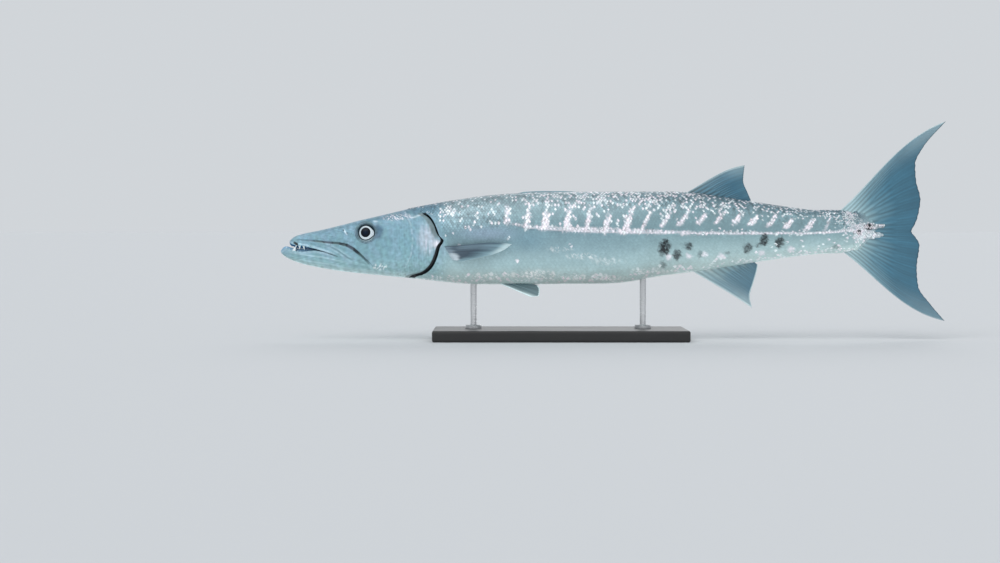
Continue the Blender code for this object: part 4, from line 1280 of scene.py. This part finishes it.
# Fins
# Thin blades of clear membrane over branching rays, blue-grey with paler roots. Each grows
# from the body where its solid does and takes the solid's place.
FIRST_DORSAL = (((337, 84), (402, 86)), ((366, 90.6), (392, 91.7), (420, 91.7), (444, 90.9)))
SECOND_DORSAL = (
    ((600, 84), (684, 73)), ((698, 130.6), (695.8, 107.5), (702.4, 89.2), (707.5, 77.4)))
ANAL = (
    ((612, -24), (706, -10)),
    ((709.9, -84.3), (706.4, -68), (712.4, -44), (716.5, -29), (718, -19.5)),
)
UPPER_TAIL = (
    ((836, 57), (864, 50), (868, 31)),
    ((1000, 196.5), (966.1, 157.4), (954.6, 132.1), (955.7, 109), (962.6, 79.1), (958.1, 51.4),
     (948.8, 31)),
)
LOWER_TAIL = (
    ((841, 4), (864, 12), (868, 31)),
    ((1000, -103.9), (977.7, -77.9), (960.4, -52.4), (957.6, -24.8), (961.4, 9.8), (948.8, 31)),
)
PECTORAL = (
    ((243.5, 8.5), (258, -11)), ((347.9, 12), (335, 3), (314.8, -4.5), (291, -10), (274, -13.5)))
PELVIC = (((320.8, 6), (346, 6)), ((376, -20.6), (388, -19.2), (389.8, -9), (386.5, -2)))
PECTORAL_LIFT = 10.5
PECTORAL_SINK = 3.8
PELVIC_SPREAD = 9.5
PELVIC_SPLAY = math.radians(25)
FIN_ROWS = 64
COLUMNS_A_RAY = 12
FIRST_BRANCH = (0.3, 0.42)
SECOND_BRANCH = (0.6, 0.72)
MAIN_RAY_SHARE = 0.2
THINNEST_HALF = 0.2
FINE_STREAKS = 8
BROAD_STREAKS = 3
RIDGE_DEPTH = 0.22
TAIL_TINTS = (
    (0, (152, 186, 190)), (0.15, (112, 158, 170)), (0.32, (70, 128, 150)), (0.6, (36, 106, 136)),
    (1, (30, 102, 134)),
)
FIRST_DORSAL_TINTS = ((0, (110, 154, 170)), (1, (118, 166, 182)))
DORSAL_TINTS = (
    (0, (84, 128, 142)), (0.25, (54, 114, 140)), (0.7, (34, 104, 136)), (1, (44, 110, 138)),
)
ANAL_TINTS = (
    (0, (206, 224, 222)), (0.18, (122, 162, 170)), (0.45, (76, 126, 146)), (1, (60, 114, 140)))
PECTORAL_TINTS = (
    (0, (112, 144, 162)), (0.1, (84, 116, 136)), (0.18, (40, 70, 92)), (0.55, (32, 62, 84)),
    (0.72, (56, 94, 112)), (0.88, (88, 132, 148)), (1, (112, 158, 172)),
)
PELVIC_TINTS = ((0, (96, 130, 138)), (0.25, (66, 102, 110)), (1, (78, 116, 124)))
PECTORAL_FLESH = (178, 198, 210)
PECTORAL_TOP = (104, 144, 164)
PECTORAL_FADE = (108, 154, 168)
EDGE_PALE = (200, 230, 232)
EDGE_DARK = (26, 66, 88)
FLESHY_ROOT = (258, -9, 14, 11)


def line_points(line, shares):
    """Points on a broken line at shares of its length, its corners rounded off."""
    points = np.array(line, float)
    run = np.concatenate(([0], np.cumsum(np.hypot(*np.diff(points, axis=0).T))))
    table = [list(zip(run, points[:, axis])) for axis in range(2)]
    at = np.asarray(shares) * run[-1]
    return np.stack([smooth(column, at) for column in table], -1)


def upright(along, up, out, offset):
    """A blade that stands in the fish's middle plane."""
    return place(along, up, -offset)


def beside_flank(along, up, out, offset):
    """A blade that lies along the left flank and lifts away from it."""
    lift = PECTORAL_LIFT - (PECTORAL_LIFT + PECTORAL_SINK) * (1 - out) ** 5
    return place(along, up, flank(along, up) + lift - offset)


def splayed(along, drop, out, offset):
    """A blade that hangs from the left of the belly and leans outward."""
    level = smooth(BELLY, along)
    across = PELVIC_SPREAD - drop * math.sin(PELVIC_SPLAY) - offset * math.cos(PELVIC_SPLAY)
    rise = offset * math.sin(PELVIC_SPLAY)
    return place(along, level + drop * math.cos(PELVIC_SPLAY) + rise, across)


def ray_ridges(ray, out):
    """Height of the rays over the blade, as each branches twice on its way out, and the twins."""
    main, twin, fourfold = (np.cos(ray * np.pi * folds) ** 2 for folds in (1, 2, 4))
    first, second = ease(*FIRST_BRANCH, out), ease(*SECOND_BRANCH, out)
    ridge = main * (1 - first) + (twin * (1 - second) + fourfold * second) * first
    return ridge + (main - ridge) * MAIN_RAY_SHARE, twin


def pectoral_tint(colours, flat, out, across, broad):
    """Fleshy root with a painted glint, pale upper half, fading rear and dark leading edge of a
    pectoral fin.
    """
    flesh = fall(0.5, 1.1, oval_reach(flat[..., 0], flat[..., 1], FLESHY_ROOT) + 0.1 * broad)
    colours = washed(colours, PECTORAL_FLESH, 0.85 * flesh)
    upper = ease(0.14, 0.3, out) * fall(0.14, 0.34, across) * fall(0.7, 0.9, out)
    colours = washed(colours, PECTORAL_TOP, 0.4 * upper)
    colours = washed(colours, PECTORAL_FADE, 0.85 * ease(0.6, 1.0, across) * ease(0.4, 0.7, out))
    rim = fall(0.02, 0.07, across) * fall(0.75, 0.95, out)
    colours = washed(colours, EDGE_DARK, 0.6 * rim)
    tip = ease(0.84, 0.97, out) * fall(0.2, 0.5, across)
    colours = washed(colours, EDGE_PALE, 0.5 * tip)
    # Painted glint along the root of the fin
    root_glint = fall(0.015, 0.05, out) * ease(0.15, 0.4, across)
    return washed(colours, EDGE_PALE, 0.8 * root_glint)


def streaks(draws, at, rays, a_ray):
    """Irregular tone across the rays, drawn anew a number of times to a ray."""
    drawn = draws.normal(0, 1, a_ray * (rays + 1))
    return np.interp(at, np.arange(0, rays + 1, 1 / a_ray), drawn)


def blade(name, lines, rays, bow, root, edge, lay, tints, edges):
    """One fin: two faces whose rays branch on the way out, closed along the rim."""
    columns_across = (rays - 1) * COLUMNS_A_RAY + 1
    across = np.linspace(0, 1, columns_across)[:, None]
    out = np.linspace(0, 1, FIN_ROWS + 1)[None, :]
    ray = across * (rays - 1)
    draws = np.random.default_rng(len(name))
    ridge, twin = ray_ridges(ray, out)
    start, end = (line_points(line, across[:, 0]) for line in lines)
    first_run, last_run = end[0] - start[0], end[-1] - start[-1]
    outward = np.array((-first_run[1], first_run[0])) / np.hypot(*first_run)
    if outward @ last_run > 0:
        outward = -outward
    frayed = 0.005 * draws.uniform(0, 1, (columns_across, 1)) + 0.006 * (1 - twin)
    reach = out * (1 - frayed * ease(0.75, 1, out))
    flat = start[:, None] + (end - start)[:, None] * reach[..., None]
    swing = bow * out ** 2 * (1 - out) * (1 - across) ** 1.5
    flat = flat + outward * swing[..., None]
    thick = (root * (1 - out) + edge * out) / 2
    half = np.maximum(thick * (1 - RIDGE_DEPTH + RIDGE_DEPTH * ridge), THINNEST_HALF)
    streak = streaks(draws, ray, rays, FINE_STREAKS)
    broad = streaks(draws, ray + 0.5 * out, rays, BROAD_STREAKS)
    colours = ramp(tints, np.clip(out + 0.05 * broad * np.sin(np.pi * out), 0, 1))
    lead, trail, dark, contrast = edges
    valley = (0.45 - ridge) * (1 - 0.75 * ease(0.45, 1, out)) * ease(0, 0.08, out)
    tone = 1 + 0.07 * streak * ease(0, 0.3, out) + 0.05 * broad - contrast * valley
    colours = colours * tone[..., None]
    if lay is beside_flank:
        colours = pectoral_tint(colours, flat, out, across, broad)
    from_lead = across * np.linalg.norm(flat[-1] - flat[0], axis=-1)[None, :]
    from_trail = (1 - out) * np.linalg.norm(end - start, axis=-1)[:, None]
    edge_on = 0.75 * fall(1.6, 3.0, from_lead)
    edge_on = edge_on + (0.25 + 0.35 * ease(0.6, 0.95, out)) * fall(0, 0.45, across)
    edge_on = np.clip(lead * edge_on, 0, 1) * ease(0.05, 0.15, out)
    colours = washed(colours, EDGE_PALE, edge_on)
    colours = washed(
        colours, EDGE_PALE, np.clip(trail * fall(0.9, 2.0, from_trail), 0, 1))
    colours = washed(colours, EDGE_DARK, dark * fall(0.8, 1.9, from_trail))
    sense = MIRROR if "right" in name else 1
    near, far = (
        lay(flat[..., 0], flat[..., 1], out, turn * half) * sense for turn in (-1, 1))
    mould = Mould()
    mould.add(near, colours)
    mould.add(far, colours, flip=True)
    for cut in ((slice(None), 0), (slice(None), -1), (0, slice(None)), (-1, slice(None))):
        mould.add(np.stack((near[cut], far[cut])), np.stack((colours[cut], colours[cut])))
    return mould.cast(name, recalculated=True)


# Each fin: its lines at root and rim, rays, bow of the leading edge, thickness at root and
# rim in thousandths, way it stands, tints, and pale lead, pale rear, dark rear and contrast
TAIL_RAYS = (10, 80, 5.6, 1.1, upright, TAIL_TINTS)
PECTORAL_MAKE = (PECTORAL, 11, 24, 3.4, 0.9, beside_flank, PECTORAL_TINTS, (0, 0.2, 0, 0.8))
PELVIC_MAKE = (PELVIC, 6, 0, 3.0, 0.9, splayed, PELVIC_TINTS, (1.3, 1.1, 0, 1.1))
FINS = {
    "first_dorsal_fin": (
        FIRST_DORSAL, 5, 0, 4.6, 1.4, upright, FIRST_DORSAL_TINTS, (0, 0, 0, 0.2)),
    "second_dorsal_fin": (
        SECOND_DORSAL, 10, 34, 3.6, 0.8, upright, DORSAL_TINTS, (0.4, 0, 0.4, 0.75)),
    "anal_fin": (ANAL, 10, 6, 3.6, 0.8, upright, ANAL_TINTS, (0.6, 0.7, 0, 0.45)),
    "caudal_fin_upper": (UPPER_TAIL, *TAIL_RAYS, (0.5, 0, 0.8, 0.5)),
    "caudal_fin_lower": (LOWER_TAIL, *TAIL_RAYS, (0.3, 0, 0.8, 0.5)),
    "pectoral_fin_left": PECTORAL_MAKE,
    "pectoral_fin_right": PECTORAL_MAKE,
    "pelvic_fin_left": PELVIC_MAKE,
    "pelvic_fin_right": PELVIC_MAKE,
}

fin_material = painted_material(
    "fin_membrane", fineness=260, strength=0.18, roughness=0.5, metallic=0.0, bump=0.2)
for name, make in FINS.items():
    fin = blade(name + "_blade", *make)
    fin.data.materials.append(fin_material)
    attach(fin, "root")
    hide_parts(name)

# Eyes
# Large glass eyes, flatter than a ball: a black-blue pupil in a silver-white iris that is drawn
# to a point behind, a thin dark line round it, and a grey outer ring. Each is set in its socket.
EYE_RADIUS = 15.6
EYE_HALF_DEPTH = 9.6
EYE_SET_BACK = 6.6
PUPIL_RADIUS = 7.8
IRIS_RADIUS = 10.2
IRIS_DROP = 0.9
IRIS_POINT = 2.7
IRIS_TURN = 0.12
PUPIL_COLOUR = (1, 8, 22)
PUPIL_GLOW = (4, 30, 62)
IRIS_COLOUR = (196, 212, 222)
IRIS_SHADE = (146, 176, 188)
IRIS_LINE = (14, 42, 54)
OUTER_RING = (104, 140, 158)
PALE_RING = (176, 204, 208)
PALE_RING_RADIUS = 13.6
EYE_GLOSS = 0.12
EYE_SPOKES = 96

eye_angle = angle_at(np.array(EYE_CENTRE[0]), np.array(EYE_CENTRE[1]))
eye_spot, eye_normal = surface(np.array(EYE_CENTRE[0]), eye_angle)
eye_rear = np.array((1.0, 0, 0)) - eye_normal[0] * eye_normal
eye_rear /= np.linalg.norm(eye_rear)
eye_up = np.cross(eye_normal, eye_rear)
rings = np.concatenate((
    np.linspace(0, PUPIL_RADIUS - 0.25, 8), np.linspace(PUPIL_RADIUS, IRIS_RADIUS - 0.3, 9),
    np.linspace(IRIS_RADIUS, EYE_RADIUS - 0.02, 28)))
spokes = np.linspace(0, 2 * np.pi, EYE_SPOKES + 1)
reach, turn = np.meshgrid(rings, spokes, indexing="ij")
bulge = EYE_HALF_DEPTH * np.sqrt(1 - (reach / EYE_RADIUS) ** 2) - EYE_SET_BACK
bulge -= 0.45 * ease(PUPIL_RADIUS + 0.4, PUPIL_RADIUS - 0.5, reach)
bulge -= 0.25 * swell(reach - IRIS_RADIUS - 2.2, 0.8)
dome = (
    eye_spot + reach[..., None] / 1000 * (
        np.cos(turn)[..., None] * eye_rear + np.sin(turn)[..., None] * eye_up)
    + bulge[..., None] / 1000 * eye_normal)
rearward, downward = np.cos(turn + IRIS_TURN), -np.sin(turn)
iris_edge = IRIS_RADIUS + IRIS_DROP * np.maximum(downward, 0)
iris_edge = iris_edge + IRIS_POINT * np.maximum(rearward, 0) ** 7
fleck = wobble(reach * 3, turn * 9, 5, 31)
iris_shade = 0.25 * ease(-0.2, 0.9, fleck) + 0.35 * ease(0, 1, -rearward)
iris = washed(np.broadcast_to(linear(*IRIS_COLOUR), dome.shape), IRIS_SHADE, iris_shade)
pupil = np.broadcast_to(linear(*PUPIL_COLOUR), dome.shape)
pupil = washed(pupil, PUPIL_GLOW, 0.8 * swell(reach, 4.0))
eye_colour = mixed(iris, pupil, fall(PUPIL_RADIUS - 0.25, PUPIL_RADIUS + 0.25, reach))
below = 0.9 * swell(reach - PALE_RING_RADIUS, 0.6) * ease(-0.5, 0.6, downward)
outer = washed(np.broadcast_to(linear(*OUTER_RING), dome.shape), PALE_RING, below)
# The dark line widens at the top and towards the snout: painted shade under the brow
dark_width = 1.5 + 3.0 * ease(-0.2, 0.8, -downward) + 1.5 * ease(0, 1, -rearward)
past = reach - iris_edge
outer = washed(outer, IRIS_LINE, fall(0.5, 1.3, past / dark_width))
eye_colour = mixed(eye_colour, outer, ease(-0.2, 0.25, past))

eye_material = painted_material(
    "glass_eye", fineness=900, strength=0.08, roughness=0.25, metallic=0.0, bump=0.02)
eye_shader = eye_material.node_tree.nodes["Principled BSDF"]
eye_shader.inputs["Specular IOR Level"].default_value = EYE_GLOSS
for side, word in SIDES:
    eye_mould = Mould()
    eye_mould.add(dome if side < 0 else dome * MIRROR, eye_colour, flip=side < 0)
    eye = eye_mould.cast("glass_eye_" + word)
    eye.data.materials.append(eye_material)
    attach(eye, "root")
    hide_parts("eye_" + word)

# Teeth
# Sharp pointed teeth of unequal size, bone white, each set in its jaw just inside the lip.
# Three fangs hang from the front of the upper jaw and a broad one stands near the tip of the
# lower, its point turned back.
TOOTH_COLOUR = (0.74, 0.84, 0.87, 1)
TOOTH_SHADE = (0.5, 0.58, 0.6, 1)
TOOTH_SIDES = 10
TOOTH_ROOT = 1.6
UPPER_TEETH = (
    (24.4, 6.0, 3.4, 0.3), (29.2, 7.8, 5.2, 0.0), (35.4, 8.4, 4.8, -0.2), (40.6, 3.8, 1.8, 0),
    (44.0, 2.8, 1.1, 0), (48.0, 3.0, 1.1, 0), (52.0, 2.4, 1.0, 0), (56.0, 2.2, 0.9, 0),
    (60.0, 1.9, 0.8, 0),
)
LOWER_TEETH = (
    (8.5, 4.6, 1.9, -0.2), (13.6, 3.2, 1.4, 0), (20.6, 9.8, 8.0, -0.35), (26.4, 3.4, 1.6, 0),
    (31.0, 3.6, 1.1, 0), (38.0, 3.2, 1.0, 0), (43.5, 2.6, 0.9, 0), (48.0, 2.4, 0.9, 0),
    (53.0, 2.2, 0.8, 0), (57.0, 1.9, 0.8, 0),
)
TOOTH_INSET = 2.2


def tooth_tree(material):
    """Geometry Nodes that stand a pointed tooth on each point of a row."""
    tree = bpy.data.node_groups.new("tooth_row", "GeometryNodeTree")
    tree.interface.new_socket("Row", in_out="INPUT", socket_type="NodeSocketGeometry")
    sides = tree.interface.new_socket("Sides", in_out="INPUT", socket_type="NodeSocketInt")
    tree.interface.new_socket("Teeth", in_out="OUTPUT", socket_type="NodeSocketGeometry")
    enter, leave = tree.nodes.new("NodeGroupInput"), tree.nodes.new("NodeGroupOutput")
    cone = linked(tree, "GeometryNodeMeshCone", {
        "Vertices": enter.outputs["Sides"], "Side Segments": 4, "Radius Top": 0.04,
        "Radius Bottom": 0.5, "Depth": 1.0})
    size, lean = (
        linked(tree, "GeometryNodeInputNamedAttribute", {"Name": name}, data_type="FLOAT_VECTOR")
        for name in ("size", "lean"))
    stand = linked(tree, "GeometryNodeInstanceOnPoints", {
        "Points": enter.outputs["Row"], "Instance": cone.outputs["Mesh"],
        "Scale": size.outputs["Attribute"], "Rotation": lean.outputs["Attribute"]})
    real = linked(tree, "GeometryNodeRealizeInstances", {"Geometry": stand.outputs[0]})
    smoothed = linked(tree, "GeometryNodeSetShadeSmooth", {"Geometry": real.outputs[0]})
    finish = linked(
        tree, "GeometryNodeSetMaterial", {"Geometry": smoothed.outputs[0], "Material": material})
    fed(tree, leave, {"Teeth": finish.outputs[0]})
    return tree, sides.identifier


def tooth_material():
    """Glossy bone white with faint clouds."""
    material, tree, shader = new_finish("tooth_enamel")
    spot = linked(tree, "ShaderNodeTexCoord").outputs["Object"]
    cloud = linked(tree, "ShaderNodeTexNoise", {"Vector": spot, "Scale": 900, "Detail": 2})
    tone = linked(
        tree, "ShaderNodeMix", {0: cloud.outputs[0], 6: TOOTH_COLOUR, 7: TOOTH_SHADE},
        data_type="RGBA")
    fed(tree, shader, {"Base Color": tone.outputs[2], "Roughness": 0.25})
    return material


enamel = tooth_material()
tree, sides_socket = tooth_tree(enamel)
places, sizes, leans = [], [], []
for side in (-1, 1):
    for line, table, down in ((UPPER_LIP, UPPER_TEETH, 1), (LOWER_LIP, LOWER_TEETH, -1)):
        for along, length, width, lean in table:
            lip_up = float(smooth(line, along))
            half = float(flank(np.array(along), np.array(lip_up)))
            spot = place(
                along + TOOTH_ROOT * math.sin(lean), lip_up + down * TOOTH_ROOT * math.cos(lean),
                half - min(TOOTH_INSET, half * 0.4))
            places.append(tuple(spot if side < 0 else spot * MIRROR))
            sizes.append((width / 1000, width * 0.75 / 1000, length / 1000))
            leans.append((0, math.pi + lean if down > 0 else -lean, 0))
row_mesh = bpy.data.meshes.new("tooth_places")
row_mesh.from_pydata(places, [], [])
for key, values in (("size", sizes), ("lean", leans)):
    held = row_mesh.attributes.new(key, "FLOAT_VECTOR", "POINT")
    held.data.foreach_set("vector", np.array(values, float).ravel())
rows_object = bpy.data.objects.new("tooth_places", row_mesh)
bpy.context.scene.collection.objects.link(rows_object)
maker = rows_object.modifiers.new("teeth", "NODES")
maker.node_group = tree
maker[sides_socket] = TOOTH_SIDES
bpy.context.view_layer.update()
evaluated = rows_object.evaluated_get(bpy.context.evaluated_depsgraph_get())
teeth = bpy.data.objects.new("teeth", bpy.data.meshes.new_from_object(evaluated))
bpy.context.scene.collection.objects.link(teeth)
bpy.data.objects.remove(rows_object)
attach(teeth, "root")

# Stand
# A flat wooden base in satin black lacquer with two turned steel rods, all made in the solids.
# The lacquer shows a faint grain and the steel fine turning marks.
LACQUER_COLOUR = (0.012, 0.012, 0.013, 1)
LACQUER_GRAIN = (0.022, 0.021, 0.02, 1)
STEEL_COLOUR = (0.56, 0.57, 0.58, 1)
STEEL_SHADE = (0.44, 0.45, 0.46, 1)


def grained_material(name, light, dark, scale, stretch, metallic, roughness, bump):
    """Material with a fine grain that is stretched along one direction."""
    material, tree, shader = new_finish(name)
    spot = linked(tree, "ShaderNodeTexCoord").outputs["Object"]
    drawn = linked(tree, "ShaderNodeMapping", {"Vector": spot, "Scale": stretch}).outputs[0]
    grain = linked(
        tree, "ShaderNodeTexNoise",
        {"Vector": drawn, "Scale": scale, "Detail": 5, "Roughness": 0.6}).outputs[0]
    tone = linked(tree, "ShaderNodeMix", {0: grain, 6: light, 7: dark}, data_type="RGBA")
    gloss = linked(
        tree, "ShaderNodeMapRange",
        {0: grain, 1: 0.3, 2: 0.7, 3: roughness - 0.06, 4: roughness + 0.06})
    ridged = linked(
        tree, "ShaderNodeBump", {"Height": grain, "Strength": bump, "Distance": 0.0003})
    fed(tree, shader, {
        "Base Color": tone.outputs[2], "Roughness": gloss.outputs[0],
        "Normal": ridged.outputs[0], "Metallic": metallic})
    return material


lacquer = grained_material(
    "black_lacquer", LACQUER_COLOUR, LACQUER_GRAIN, scale=60, stretch=(0.12, 1, 1),
    metallic=0.0, roughness=0.34, bump=0.15)
steel = grained_material(
    "turned_steel", STEEL_COLOUR, STEEL_SHADE, scale=500, stretch=(0.08, 0.08, 1),
    metallic=1.0, roughness=0.3, bump=0.2)
for node, finish in (
    ("stand_base", lacquer), ("stand_rod_front", steel), ("stand_rod_rear", steel),
):
    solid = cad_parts[node]
    solid.data.materials.clear()
    solid.data.materials.append(finish)
